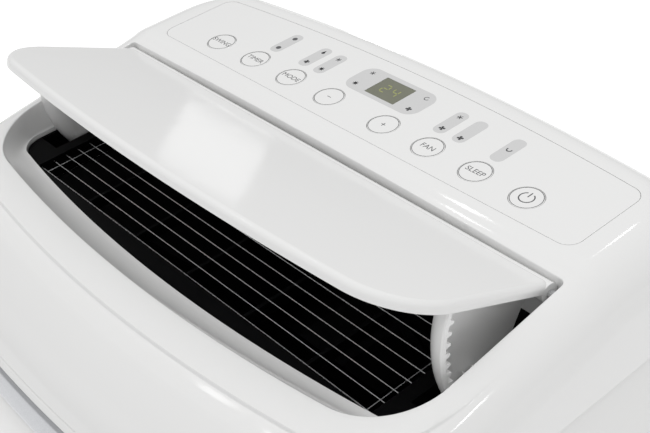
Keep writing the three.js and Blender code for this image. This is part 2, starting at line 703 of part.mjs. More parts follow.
const fanScrollY = [FAN.y[0] - 6, FAN.y[1] + 6];
addPart('condenser_scroll', scroll(
  fanOutline,
  box(-32, -20, fanScrollY[0] + 2.5, fanScrollY[1] - 2.5, FAN.z + 48.5, FAN.z + 107.5),
  [FAN.x, FAN.z], 60, fanScrollY, 9,
), blackSatin);
addPart('condenser_fan', bladeWheel([FAN.x, FAN.z], FAN.wheel, FAN.y, 14, 4), blackSatin);
addPart('condenser_motor', motor([FAN.x, FAN.z], 45, [-50, fanScrollY[0] - 2], 4, FAN.y[0] + 20), steel);

// Exhaust duct from the condenser scroll to the round collar at the back.
const DUCT = { x: [-190, -28], y: [12, 150], z: [164, 316] };
addPart('exhaust_duct', cut(
  box(...DUCT.x, ...DUCT.y, ...DUCT.z),
  box(DUCT.x[0] + 2.5, DUCT.x[1] - 2.5, DUCT.y[0] + 2.5, DUCT.y[1] - 2.5, DUCT.z[0] + 2.5, DUCT.z[1] - 2.5),
  box(DUCT.x[1] - 4, DUCT.x[1] + 1, fanScrollY[0] + 4, fanScrollY[1] - 4, FAN.z + 50, FAN.z + 106),
  rod('y', EXHAUST.bore, DUCT.y[1] - 4, DUCT.y[1] + 1, [EXHAUST.x, EXHAUST.z], 20),
), blackSatin);

// Round collar in the rear shell, open through to the duct.
function collar() {
  const [x, z] = [EXHAUST.x, EXHAUST.z];
  const face = 169.6;
  return cut(
    joined(
      rod('y', EXHAUST.flange, 163.6, face, [x, z], 20),
      rod('y', EXHAUST.bore + 3, DUCT.y[1] + GAP, 165, [x, z], 20),
    ),
    rod('y', EXHAUST.bore, 140, 180, [x, z], 20),
  );
}

addPart('exhaust_collar', collar(), whiteSatin);

// ---------------------------------------------------------------- refrigeration
// A coil is a block of fins between two end plates, with return bends on one side.
function coil(x, y, z, rows) {
  const [y0, y1] = y;
  const middle = (y0 + y1) / 2;
  const bends = [];
  for (let row = 0; row < rows; row++) {
    const level = z[0] + ((row + 0.5) * (z[1] - z[0])) / rows;
    bends.push(box(x[0] - 9, x[0] + 1, middle - 4, middle + 4, level - 9, level + 9));
  }
  const rim = [[x[0], x[0] + 2], [x[1] - 2, x[1]]].map((span) => (
    box(...span, y0 - 4, y1 + 4, z[0] - 3, z[1] + 3)));
  return joined(box(x[0], x[1], ...y, ...z), ...rim, ...bends);
}

addPart('evaporator_coil', coil([-150, 150], [102, 132], [362, 566], 6), aluminium);
addPart('condenser_coil', coil([-2, 178], [98, 132], [88, 304], 6), aluminium);

const ACCUMULATOR = [-30, -88];

// Drip tray under the upper coil: it divides the upper half from the lower half.
addPart('drip_tray', cut(
  joined(
    plate(BODY, 330, 333, SKIN + GAP),
    cut(box(-172, 172, 95, 140, 332, 352), box(-169, 169, 97, 138, 333, 360)),
  ),
  rod('z', 6, 320, 340, ACCUMULATOR, 14),
), blackSatin);

const COMPRESSOR = [-112, -72];
addPart('compressor', joined(
  turned([
    [0, 84], [52, 84], [60, 100], [60, 262], [40, 288], [0, 292],
  ], 18, 'z', [...COMPRESSOR, 0]),
  ...[90, 210, 330].map((degrees) => {
    const angle = (degrees * Math.PI) / 180;
    const [x, y] = [COMPRESSOR[0] + 54 * Math.cos(angle), COMPRESSOR[1] + 54 * Math.sin(angle)];
    return rod('z', 11, SHELL_Z, 90, [x, y], 10);
  }),
), blackSatin);

addPart('accumulator', turned([
  [0, 118], [19, 130], [19, 228], [0, 240],
], 14, 'z', [...ACCUMULATOR, 0]), blackSatin);

// A pipe follows straight runs with small bends.
function pipe(points, radius) {
  const path = new THREE.CurvePath();
  const at = points.map((p) => new THREE.Vector3(...p));
  let from = at[0];
  for (let i = 1; i + 1 < at.length; i++) {
    const bend = 10;
    const before = at[i].clone().add(at[i - 1].clone().sub(at[i]).setLength(bend));
    const after = at[i].clone().add(at[i + 1].clone().sub(at[i]).setLength(bend));
    path.add(new THREE.LineCurve3(from, before));
    path.add(new THREE.QuadraticBezierCurve3(before, at[i], after));
    from = after;
  }
  path.add(new THREE.LineCurve3(from, at[at.length - 1]));
  const section = new THREE.Shape(circle(radius, 6).map(([a, b]) => new THREE.Vector2(a, b)));
  const steps = Math.round(path.getLength() / 18);
  return toSolid(new THREE.ExtrudeGeometry(section, { steps, extrudePath: path }));
}

addPart('suction_pipe', pipe([
  [...ACCUMULATOR, 240.6], [...ACCUMULATOR, 348], [-168, 40, 348], [-168, 117, 380],
], 3.6), copper);
addPart('discharge_pipe', pipe([
  [...COMPRESSOR, 292.6], [...COMPRESSOR, 312], [0, -10, 312], [210, 70, 312], [196, 115, 250], [179, 115, 250],
], 3), copper);

addPart('electrical_box', cut(
  box(-190, -96, -130, -60, 420, 560),
  box(-187, -99, -127, -50, 423, 557),
), blackSatin);
addPart('run_capacitor', rod('z', 19, 424, 500, [-144, -96], 14), aluminium);

// ---------------------------------------------------------------- filters
function filter(x, z, tabX) {
  const [y0, y1] = FILTER_Y;
  const frame = cut(
    box(...x, y0, y1, ...z),
    box(x[0] + 6, x[1] - 6, y0 - 1, y0 + 3.4, z[0] + 6, z[1] - 6),
    box(x[0] + 6, x[1] - 6, y0 + 4.6, y1 + 1, z[0] + 6, z[1] - 6),
  );
  const middle = (z[0] + z[1]) / 2;
  return joined(frame, box(x[1] - 1, tabX, y0, y1, middle - 16, middle + 16));
}

addPart('filter_upper', filter([-152, 186], UPPER_FILTER_Z, 199), blackSatin);
addPart('filter_lower', filter([2, 186], LOWER_FILTER_Z, 199), blackSatin);

// ---------------------------------------------------------------- drains and cord gland
function plug([x, z], radius, back, face) {
  return joined(
    rod('y', radius - 2.5, back, face - 3, [x, z], 16),
    rod('y', radius, face - 9, face, [x, z], 16),
  );
}

addPart('drain_plug_upper', plug(UPPER_DRAIN, 9, 126, 158), rubber);
addPart('drain_plug_lower', plug(LOWER_DRAIN, 9, 142, 169.8), rubber);
addPart('cord_gland', cut(
  joined(rod('y', 8, 138, 154, CORD, 16), rod('y', 11, 133, 137.8, CORD, 16), rod('y', 8, 137, 139, CORD, 16)),
  rod('y', 4.2, 130, 160, CORD, 12),
), rubber);

// ---------------------------------------------------------------- casters
const WHEEL_RADIUS = 18;
const TRAIL = 9;
for (const [name, x, y] of [
  ['front_left', -165, -118], ['front_right', 165, -118], ['rear_left', -165, 112], ['rear_right', 165, 112],
]) {
  const axleY = y + TRAIL;
  const horn = cut(
    joined(
      rod('z', 16, 38.6, BASE_Z - GAP, [x, y], 16),
      rod('z', 6, BASE_Z - 1, 60, [x, y], 10),
      box(x - 12, x + 12, y - 12, axleY + 9, WHEEL_RADIUS - 4, 40),
    ),
    box(x - 9.4, x + 9.4, y - 20, axleY + 30, 0, WHEEL_RADIUS * 2 + 1.5),
  );
  const fork = joined(horn, rod('x', 3, x - 10, x + 10, [axleY, WHEEL_RADIUS], 10));
  addPart(`caster_fork_${name}`, fork, blackSatin);
  const wheel = turned([
    [3.6, -8.4], [WHEEL_RADIUS, -8.4], [WHEEL_RADIUS, 8.4], [3.6, 8.4], [3.6, -8.4],
  ], 24, 'x', [x, axleY, WHEEL_RADIUS]);
  addPart(`caster_wheel_${name}`, wheel, blackSatin);
}

export default root;
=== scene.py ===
import json
import math

import bmesh
import bpy
from mathutils import Matrix, Vector


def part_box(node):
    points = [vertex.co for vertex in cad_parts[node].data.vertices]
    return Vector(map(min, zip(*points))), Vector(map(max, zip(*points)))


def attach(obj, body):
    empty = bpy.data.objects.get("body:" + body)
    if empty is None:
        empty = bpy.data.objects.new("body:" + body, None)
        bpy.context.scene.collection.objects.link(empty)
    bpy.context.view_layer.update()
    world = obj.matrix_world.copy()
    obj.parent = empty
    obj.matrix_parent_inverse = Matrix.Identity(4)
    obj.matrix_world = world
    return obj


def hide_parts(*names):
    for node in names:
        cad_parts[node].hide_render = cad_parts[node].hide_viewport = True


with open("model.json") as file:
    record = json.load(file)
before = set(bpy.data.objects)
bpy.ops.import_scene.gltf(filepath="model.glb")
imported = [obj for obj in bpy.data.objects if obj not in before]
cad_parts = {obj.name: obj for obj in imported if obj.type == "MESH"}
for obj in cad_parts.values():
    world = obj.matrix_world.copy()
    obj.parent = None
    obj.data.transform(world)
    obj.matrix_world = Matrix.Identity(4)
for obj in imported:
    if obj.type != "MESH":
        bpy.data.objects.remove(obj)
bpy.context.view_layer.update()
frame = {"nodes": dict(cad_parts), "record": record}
MM = 0.001


# ------------------------------------------------------------------ glossy white mouldings
# Injection-moulded ABS with a polished skin. The skin is nearly flawless: a faint moulding
# ripple bends reflections, and the polish varies a little from place to place.
class Value:
    """A number or colour in a material: arithmetic on it adds Math nodes."""

    def __init__(self, finish, socket):
        self.finish = finish
        self.socket = socket

    def math(self, operation, *values):
        numbers = {index: value for index, value in enumerate(values)}
        return self.finish.node("ShaderNodeMath", {"operation": operation}, numbers)

    def __add__(self, other):
        return self.math("ADD", self, other)

    def __mul__(self, other):
        return self.math("MULTIPLY", self, other)

    def clip(self, low, high):
        span = {"From Min": low, "From Max": high}
        return self.finish.node("ShaderNodeMapRange", {"clamp": True}, {"Value": self, **span})

    __radd__ = __add__
    __rmul__ = __mul__


class Finish:
    """A material on one Principled shader, whose constant values sit on its own sockets."""

    def __init__(self, name, **constants):
        self.material = bpy.data.materials.new(name)
        self.material.use_nodes = True
        self.tree = self.material.node_tree
        self.shader = self.tree.nodes["Principled BSDF"]
        for label, value in constants.items():
            socket = label.replace("_", " ").title().replace("Ior", "IOR")
            self.shader.inputs[socket].default_value = value

    def node(self, kind, settings, values, output=0):
        node = self.tree.nodes.new(kind)
        for label, setting in settings.items():
            setattr(node, label, setting)
        for label, value in values.items():
            if isinstance(value, Value):
                self.tree.links.new(value.socket, node.inputs[label])
            else:
                node.inputs[label].default_value = value
        return Value(self, node.outputs[output])

    def place(self):
        return self.node("ShaderNodeTexCoord", {}, {}, "Object")

    def noise(self, size, detail=2.0):
        """Cloudy noise with patches of about this size, in metres."""
        values = {"Vector": self.place(), "Scale": 1 / size, "Detail": detail}
        return self.node("ShaderNodeTexNoise", {}, values, "Fac")

    def mix(self, factor, first, second):
        """A blend of two colours; a Mix node has its colour sockets at 6, 7 and output 2."""
        values = {"Factor": factor, 6: (*first, 1), 7: (*second, 1)}
        return self.node("ShaderNodeMix", {"data_type": "RGBA"}, values, 2)

    def feed(self, label, value):
        self.tree.links.new(value.socket, self.shader.inputs[label])

    def bump(self, height, depth):
        values = {"Height": height, "Distance": depth, "Strength": 1.0}
        return self.node("ShaderNodeBump", {}, values, "Normal")


def gloss_white(name, colour, roughness):
    finish = Finish(name, ior=1.5, specular_ior_level=0.5)
    cloud = finish.noise(0.16, 3.0)
    tone = tuple(channel * 0.985 for channel in colour)
    finish.feed("Base Color", finish.mix(cloud, tone, colour))
    finish.feed("Roughness", cloud * 0.02 + finish.noise(0.0021) * 0.015 + roughness)
    ripple = finish.noise(0.028, 1.0)
    finish.feed("Normal", finish.bump(ripple, 0.00006))
    return finish.material


WHITE = (0.83, 0.83, 0.825)
white_gloss = gloss_white("white_gloss", WHITE, 0.055)


# ------------------------------------------------------------------ body outline and height
# The casing follows one outline: bowed front and back, round corners. Its top is flat under
# the key panel, falls gently towards the front and rolls over a wide front shoulder.
BODY = dict(half=220 * MM, front=-170 * MM, rear=170 * MM, front_bow=1130 * MM,
            rear_bow=1560 * MM, front_corner=80 * MM, rear_corner=55 * MM, joint=-60 * MM)
# Width and height of the rounded shoulder on each side.
FRONT_SHOULDER = (67 * MM, 110 * MM)
SIDE_SHOULDER = (28 * MM, 30 * MM)
REAR_SHOULDER = (20 * MM, 22 * MM)
PANEL_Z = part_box("top_cover")[1][2]
FALL_START, FALL_STEADY = 72 * MM, 58.8 * MM
FALL_STEP, FALL_SLOPE = 2.6 * MM, 0.1436
ARC_STEPS = dict(front=22, front_corner=18, side=16, rear_corner=10, rear=22)


def centres(o):
    """Centres of an outline's corners (x, y), front then rear, and of its two bows (y)."""
    front_x, rear_x = o["half"] - o["front_corner"], o["half"] - o["rear_corner"]
    front_centre, rear_centre = o["front"] + o["front_bow"], o["rear"] - o["rear_bow"]
    front_y = front_centre - math.sqrt((o["front_bow"] - o["front_corner"]) ** 2 - front_x ** 2)
    rear_y = rear_centre + math.sqrt((o["rear_bow"] - o["rear_corner"]) ** 2 - rear_x ** 2)
    return front_x, front_y, rear_x, rear_y, front_centre, rear_centre


def outline(o):
    """Points (x, y) with their outward directions, once round from the middle of the front."""
    front_x, front_y, rear_x, rear_y, front_centre, rear_centre = centres(o)
    front_turn = math.asin(front_x / (o["front_bow"] - o["front_corner"]))
    rear_turn = math.pi - math.asin(rear_x / (o["rear_bow"] - o["rear_corner"]))
    half = []

    def bend(x, y, radius, start, end, steps, first=0):
        for step in range(first, steps + 1):
            turn = start + (end - start) * step / steps
            away = Vector((math.sin(turn), -math.cos(turn)))
            half.append((Vector((x, y)) + away * radius, away))

    bend(0, front_centre, o["front_bow"], 0, front_turn, ARC_STEPS["front"])
    bend(front_x, front_y, o["front_corner"], front_turn, math.pi / 2, ARC_STEPS["front_corner"], 1)
    for step in range(1, ARC_STEPS["side"]):
        y = front_y + (rear_y - front_y) * step / ARC_STEPS["side"]
        if step == 2:
            y = o.get("joint", y)
        half.append((Vector((o["half"], y)), Vector((1, 0))))
    bend(rear_x, rear_y, o["rear_corner"], math.pi / 2, rear_turn, ARC_STEPS["rear_corner"])
    bend(0, rear_centre, o["rear_bow"], rear_turn, math.pi, ARC_STEPS["rear"], 1)
    flip = Matrix.Diagonal((-1, 1))
    return half + [(flip @ point, flip @ away) for point, away in reversed(half[1:-1])]


def top_height(y):
    """Height of the top along the middle: flat, a short bend, then a steady fall."""
    if y >= FALL_START:
        return PANEL_Z
    if y >= FALL_STEADY:
        share = (FALL_START - y) / (FALL_START - FALL_STEADY)
        return PANEL_Z - FALL_STEP * share * share * (1.5 - 0.5 * share)
    return PANEL_Z - FALL_STEP - FALL_SLOPE * (FALL_STEADY - y)


def smooth(share):
    share = min(1.0, max(0.0, share))
    return share * share * (3 - 2 * share)


def shoulder(away):
    """Width and height of the shoulder where the outline faces this way."""
    turn = math.atan2(abs(away.x), -away.y) / (math.pi / 2)
    if turn <= 1:
        share = smooth((turn - 0.08) / 0.92)
        pair = zip(FRONT_SHOULDER, SIDE_SHOULDER)
    else:
        share = smooth((turn - 1) / 0.92)
        pair = zip(SIDE_SHOULDER, REAR_SHOULDER)
    return [start + (end - start) * share for start, end in pair]


def wall_point(rim, z, inward=0.0):
    """The casing's surface at height z on one line of the outline."""
    point, away = rim
    width, height = shoulder(away)
    depth = 0.0
    for _ in range(3):
        fall = (top_height(point.y - away.y * depth) - z) / height
        rise = 1 - min(1.0, max(0.0, fall))
        depth = width * (1 - math.sqrt(1 - rise * rise))
    place = point - away * (depth + inward)
    return Vector((place.x, place.y, z))


def edge_distance(x, y):
    """How far a point of the top lies inside the outline, and which way the edge faces."""
    front_x, front_y, rear_x, rear_y, front_centre, rear_centre = centres(BODY)
    across = abs(x)
    for centre_x, centre_y, radius, end in (
            (front_x, front_y, BODY["front_corner"], -1), (rear_x, rear_y, BODY["rear_corner"], 1)):
        away = Vector((across - centre_x, y - centre_y))
        if away.x > 0 and away.y * end > 0:
            return radius - away.length, away.normalized()
    to_front = Vector((across, y - front_centre))
    to_rear = Vector((across, y - rear_centre))
    return min(
        (BODY["front_bow"] - to_front.length, to_front.normalized()),
        (BODY["rear_bow"] - to_rear.length, to_rear.normalized()),
        (BODY["half"] - across, Vector((1, 0))),
        key=lambda pair: pair[0])


def surface_height(x, y):
    inside, away = edge_distance(x, y)
    width, height = shoulder(away)
    rise = max(0.0, 1 - inside / width)
    return top_height(y) - height * (1 - math.sqrt(max(0.0, 1 - rise * rise)))


def skin(name, columns, rows, place):
    """A grid bent to shape by place(column, row), with touching edges merged."""
    work = bmesh.new()
    bmesh.ops.create_grid(work, x_segments=columns, y_segments=rows, size=0.5)
    for vertex in work.verts:
        column = round((vertex.co.x + 0.5) * columns)
        row = round((vertex.co.y + 0.5) * rows)
        vertex.co = place(column, row)
    bmesh.ops.remove_doubles(work, verts=work.verts, dist=1e-6)
    bmesh.ops.recalc_face_normals(work, faces=work.faces)
    return piece(name, work)


def piece(name, work):
    """Makes an object of a bmesh, and frees the bmesh."""
    mesh = bpy.data.meshes.new(name)
    work.to_mesh(mesh)
    work.free()
    thing = bpy.data.objects.new(name, mesh)
    bpy.context.scene.collection.objects.link(thing)
    return thing


def apply_modifiers(thing):
    graph = bpy.context.evaluated_depsgraph_get()
    shaped = bpy.data.meshes.new_from_object(thing.evaluated_get(graph))
    thing.modifiers.clear()
    thing.data = shaped


def thicken(thing, wall):
    """Gives an open skin its wall, on the inside."""
    solid = thing.modifiers.new("wall", "SOLIDIFY")
    solid.thickness = wall
    solid.offset = -1
    solid.use_even_offset = True
    apply_modifiers(thing)


def finished(thing, body, materials, nodes=(), edge_angle=35, wall=None, even=False):
    """Gives a piece its wall, its shading, its material and its place in the frame.

    Edges sharper than edge_angle stay crisp; even keeps the shading level on wide flat faces.
    """
    if wall:
        thicken(thing, wall)
    for material in materials if isinstance(materials, list) else [materials]:
        thing.data.materials.append(material)
    for face in thing.data.polygons:
        face.use_smooth = True
    thing.data.set_sharp_from_angle(angle=math.radians(edge_angle))
    if even:
        level = thing.modifiers.new("even", "WEIGHTED_NORMAL")
        level.keep_sharp = True
        level.weight = 100
        apply_modifiers(thing)
    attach(thing, body)
    if nodes:
        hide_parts(*nodes)


# ------------------------------------------------------------------ top cover
# One polished white moulding: the shoulder, the recess for the air outlet with its sloping
# lip, and two fine steps that run round the front of the lip and fade along the sides.
SEAM_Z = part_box("top_cover")[0][2]
MOUTH = dict(half=195.2 * MM, front=-83 * MM, rear=56.7 * MM, front_bow=1130 * MM,
             rear_bow=9.0, front_corner=44 * MM, rear_corner=3 * MM)
THROAT = dict(MOUTH, half=192.6 * MM, front=-64 * MM, front_corner=18 * MM)
LIP_Z = 664 * MM
RECESS_FOOT_Z = 661.2 * MM
WALL = 2.6 * MM
# Each fine step is STEP_WIDE across. The band between them dips a little.
STEP_WIDE, STEP_DROP, BAND_DIP = 1.4 * MM, 1.7 * MM, 9 * MM
body_rim, mouth_rim, throat_rim = outline(BODY), outline(MOUTH), outline(THROAT)
ROUND = len(body_rim)
SEAM_ROWS, SHOULDER_ROWS, BAND_ROWS, STEP_ROWS, FLAT_ROWS = 4, 30, 8, 5, 9
EDGE_ROWS, LIP_ROWS, FOOT_ROWS = 4, 10, 3
EDGE_RADIUS = 0.8 * MM


def cover_point(column, row):
    """A point of the cover, row by row from the seam up, over the top and down the recess."""
    rim, mouth, throat = (loop[column % ROUND] for loop in (body_rim, mouth_rim, throat_rim))
    wall_top = max(SEAM_Z + 1.5 * MM, top_height(rim[0].y) - shoulder(rim[1])[1])
    if row <= SEAM_ROWS:
        return wall_point(rim, SEAM_Z + (wall_top - SEAM_Z) * row / SEAM_ROWS)
    row -= SEAM_ROWS
    start = wall_point(rim, wall_top)
    edge = mouth[0] + mouth[1] * EDGE_RADIUS
    run = (edge - start.xy).length
    fade = smooth((10 * MM - mouth[0].y) / (60 * MM))
    step_at = min(19 * MM, run * 0.42)
    band_at = min(32 * MM, run * 0.6)
    top_rows = SHOULDER_ROWS + BAND_ROWS + STEP_ROWS + FLAT_ROWS
    if row <= top_rows:
        if row <= SHOULDER_ROWS:
            gone = (run - band_at) * (row / SHOULDER_ROWS) ** 2
        elif row <= SHOULDER_ROWS + BAND_ROWS:
            gone = run - band_at + (band_at - step_at - STEP_WIDE) * (row - SHOULDER_ROWS) / BAND_ROWS
        elif row <= SHOULDER_ROWS + BAND_ROWS + STEP_ROWS:
            share = (row - SHOULDER_ROWS - BAND_ROWS) / STEP_ROWS
            gone = run - step_at - STEP_WIDE + STEP_WIDE * share
        else:
            share = (row - SHOULDER_ROWS - BAND_ROWS - STEP_ROWS) / FLAT_ROWS
            gone = run - step_at + step_at * share
        place = start.xy.lerp(edge, gone / run)
        outside = max(0.0, run - band_at - gone) / max(run - band_at, MM)
        below = STEP_DROP * smooth((run - step_at - gone) / STEP_WIDE) * (1 - outside)
        dip = BAND_DIP * outside * (1 - outside)
        keep = fade * smooth(gone / (0.25 * run))
        z = surface_height(*place)
        if gone < MM:
            z = max(z, start.z)
        return Vector((place.x, place.y, z - (below + dip) * keep))
    row -= top_rows
    brim = surface_height(*edge)
    if row <= EDGE_ROWS:
        turn = math.pi / 2 * row / EDGE_ROWS
        place = mouth[0] + mouth[1] * EDGE_RADIUS * (1 - math.sin(turn))
        return Vector((place.x, place.y, brim - EDGE_RADIUS * (1 - math.cos(turn))))
    row -= EDGE_ROWS
    if row <= LIP_ROWS:
        share = row / LIP_ROWS
        place = mouth[0].lerp(throat[0], share)
        drop = 1 - (1 - share) ** 1.7
        return Vector((place.x, place.y, brim - EDGE_RADIUS + (LIP_Z - brim + EDGE_RADIUS) * drop))
    share = (row - LIP_ROWS) / FOOT_ROWS
    return Vector((*throat[0], LIP_Z + (RECESS_FOOT_Z - LIP_Z) * share))


cover_rows = (SEAM_ROWS + SHOULDER_ROWS + BAND_ROWS + STEP_ROWS + FLAT_ROWS
              + EDGE_ROWS + LIP_ROWS + FOOT_ROWS)
top_cover = skin("cover_moulding", ROUND, cover_rows, cover_point)
finished(top_cover, "casing", white_gloss, ["top_cover"], 28, WALL)


# ------------------------------------------------------------------ front panel and trim
# The front panel is a deep white moulding. Above it sit a silver-lacquered strip and a thin
# white bead, each snapped into the cover with a fine shadow gap.
def band(name, node, rows, column_from, column_to, proud=0.0, round_edge=0.0):
    """A strip of the casing as high as a node, from one column of the outline to another."""
    low, high = (corner.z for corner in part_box(node))

    def place(column, row):
        share = row / rows
        z = low + (high - low) * share
        edge = min(z - low, high - z)
        tuck = 0.0
        if edge < round_edge:
            tuck = round_edge - math.sqrt(max(0.0, round_edge ** 2 - (round_edge - edge) ** 2))
        return wall_point(body_rim[(column + column_from) % ROUND], z, tuck - proud)

    return outward(skin(name, column_to - column_from, rows, place))


def outward(thing):
    """Turns an open strip so that its faces point away from the middle of the body."""
    work = bmesh.new()
    work.from_mesh(thing.data)
    work.faces.ensure_lookup_table()
    face = work.faces[len(work.faces) // 2]
    middle = face.calc_center_median()
    if face.normal.dot(middle - Vector((0, 0, middle.z))) < 0:
        bmesh.ops.reverse_faces(work, faces=work.faces)
    work.to_mesh(thing.data)
    work.free()
    return thing


JOINT_COLUMN = ARC_STEPS["front"] + ARC_STEPS["front_corner"] + 2
silver = Finish("silver_lacquer", metallic=0.85, coat_weight=0.35, coat_roughness=0.08)
flakes = silver.noise(0.0007, 0.0)
silver.feed("Base Color", silver.mix(flakes, (0.50, 0.51, 0.53), (0.62, 0.63, 0.65)))
silver.feed("Roughness", silver.noise(0.004) * 0.08 + 0.27)
silver.feed("Normal", silver.bump(flakes, 0.00001))

satin = Finish("white_satin", ior=1.48, specular_ior_level=0.42)
satin_grain = satin.noise(0.0009, 2.0)
satin.feed("Base Color", satin.mix(satin.noise(0.12, 3.0), (0.81, 0.81, 0.80), (0.825, 0.825, 0.82)))
satin.feed("Roughness", satin_grain * 0.10 + 0.36)
satin.feed("Normal", satin.bump(satin_grain, 0.00005))

panel = band("front_moulding", "front_panel", 90, -JOINT_COLUMN, JOINT_COLUMN, 0, 2.0 * MM)
finished(panel, "casing", white_gloss, ["front_panel"], 40, 3 * MM)
trim = band("trim_strip", "silver_trim", 18, -JOINT_COLUMN, JOINT_COLUMN, 0.5 * MM, 1.6 * MM)
finished(trim, "casing", silver.material, ["silver_trim"], 50, 2.4 * MM)
bead = band("trim_bead_strip", "trim_bead", 12, -JOINT_COLUMN, JOINT_COLUMN, 0.3 * MM, 1.8 * MM)
finished(bead, "casing", satin.material, ["trim_bead"], 50, 2.4 * MM)


# ------------------------------------------------------------------ rear shell
# Satin white ABS, in one piece round the sides and back. It has two banks of intake louvres
# with fine slats moulded behind them, and openings for the grips, hose collar and plugs.
body_by_node = {node: body for body, nodes in frame["record"]["behaviour"]["bodies"].items()
                for node in nodes}


def soften(work, edges, width, segments, clamp=False):
    """Rounds the given edges."""
    bmesh.ops.bevel(work, geom=edges, offset=width, offset_type="OFFSET", affect="EDGES",
                    segments=segments, profile=0.5, material=-1, clamp_overlap=clamp)


def block(work, low, high, rounded=0.0, axis=None, segments=4):
    """Adds a box between two corners, with the edges along one axis rounded."""
    made = bmesh.ops.create_cube(work, size=1.0)["verts"]
    low, high = Vector(low), Vector(high)
    for vertex in made:
        vertex.co = (low + high) / 2 + vertex.co * (high - low)
    if rounded:
        edges = [edge for edge in {edge for vertex in made for edge in vertex.link_edges}
                 if abs((edge.verts[0].co - edge.verts[1].co).normalized()[axis]) > 0.9]
        soften(work, edges, rounded, segments)


def rod(work, radius, start, end, sides=32):
    """Adds a round bar from start to end."""
    start, end = Vector(start), Vector(end)
    turn = (end - start).to_track_quat("Z", "Y").to_matrix().to_4x4()
    bmesh.ops.create_cone(work, cap_ends=True, segments=sides, radius1=radius, radius2=radius,
                          depth=(end - start).length,
                          matrix=Matrix.Translation((start + end) / 2) @ turn)


def carve(thing, work, operation="DIFFERENCE"):
    """Cuts the shapes in work out of a piece, or joins them to it."""
    tool = piece("tool", work)
    change = thing.modifiers.new("carve", "BOOLEAN")
    change.operation = operation
    change.solver = "EXACT"
    change.object = tool
    apply_modifiers(thing)
    bpy.data.objects.remove(tool)


def ease_edges(thing, width, angle=40):
    """Rounds the sharp edges of a piece."""
    bevel = thing.modifiers.new("ease", "BEVEL")
    bevel.width = width
    bevel.segments = 2
    bevel.limit_method = "ANGLE"
    bevel.angle_limit = math.radians(angle)
    bevel.use_clamp_overlap = True
    apply_modifiers(thing)


# Intakes: left, right, bottom and top. The cutters run in past the wall, and out past it.
UPPER_INTAKE = (-150 * MM, 150 * MM, 372 * MM, 556 * MM)
LOWER_INTAKE = (12 * MM, 172 * MM, 92 * MM, 300 * MM)
LOUVRE_PITCH, LOUVRE_OPEN = 26 * MM, 16 * MM
CUT_IN, CUT_OUT = 120 * MM, 200 * MM
SIDE_IN, SIDE_OUT = 200 * MM, 300 * MM
FILTER_GAP, GRIP_LAP, COLLAR_GAP, PLUG_GAP = 1.5 * MM, 5 * MM, 0.6 * MM, 0.4 * MM
GLAND_HOLE = 8.4 * MM


def louvre_levels(low, high):
    """The lower edges of the louvres that fit between two heights."""
    count = int((high - low - LOUVRE_OPEN) / LOUVRE_PITCH) + 1
    return [low + LOUVRE_PITCH * number for number in range(count)]


def round_hole(work, node, radius, sides):
    """A round cutter through the back wall, in line with a node."""
    low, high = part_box(node)
    x, z = (low.x + high.x) / 2, (low.z + high.z) / 2
    rod(work, radius, (x, CUT_IN, z), (x, CUT_OUT, z), sides)


def half_width(node):
    low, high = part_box(node)
    return (high.x - low.x) / 2


shell = band("rear_moulding", "rear_shell", 48, JOINT_COLUMN, ROUND - JOINT_COLUMN, 0, 1.2 * MM)
thicken(shell, 3 * MM)
openings = bmesh.new()
for left, right, bottom, top in (UPPER_INTAKE, LOWER_INTAKE):
    for level in louvre_levels(bottom, top):
        block(openings, (left, CUT_IN, level), (right, CUT_OUT, level + LOUVRE_OPEN), 4 * MM, 1)
for node in ("filter_upper", "filter_lower"):
    low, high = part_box(node)
    block(openings, (205 * MM, low.y - FILTER_GAP, low.z - FILTER_GAP),
          (SIDE_OUT, high.y + FILTER_GAP, high.z + FILTER_GAP), 2 * MM, 0)
for node, (left, right) in (("grip_left", (-SIDE_OUT, -SIDE_IN)), ("grip_right", (SIDE_IN, SIDE_OUT))):
    low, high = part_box(node)
    block(openings, (left, low.y + GRIP_LAP, low.z + GRIP_LAP),
          (right, high.y - GRIP_LAP, high.z - GRIP_LAP), 6 * MM, 0)
round_hole(openings, "exhaust_collar", half_width("exhaust_collar") + COLLAR_GAP, 72)
for node in ("drain_plug_upper", "drain_plug_lower"):
    round_hole(openings, node, half_width(node) + PLUG_GAP, 32)
round_hole(openings, "cord_gland", GLAND_HOLE, 32)
carve(shell, openings)
ease_edges(shell, 0.5 * MM)
finished(shell, "casing", satin.material, ["rear_shell"], even=True)

SLAT_Y, POST_Y = (153 * MM, 158 * MM), (152 * MM, 156 * MM)
SLAT_HALF, POST_SPACING = 0.9 * MM, 20 * MM
slats = bmesh.new()
for left, right, bottom, top in (UPPER_INTAKE, LOWER_INTAKE):
    for level in louvre_levels(bottom, top):
        for share in (1 / 3, 2 / 3):
            middle = level + LOUVRE_OPEN * share
            block(slats, (left + MM, SLAT_Y[0], middle - SLAT_HALF),
                  (right - MM, SLAT_Y[1], middle + SLAT_HALF))
    count = round((right - left) / POST_SPACING)
    for step in range(1, count):
        x = left + (right - left) * step / count
        block(slats, (x - SLAT_HALF, POST_Y[0], bottom - 3 * MM), (x + SLAT_HALF, POST_Y[1], top - 7 * MM))
finished(piece("intake_slats", slats), "casing", satin.material)


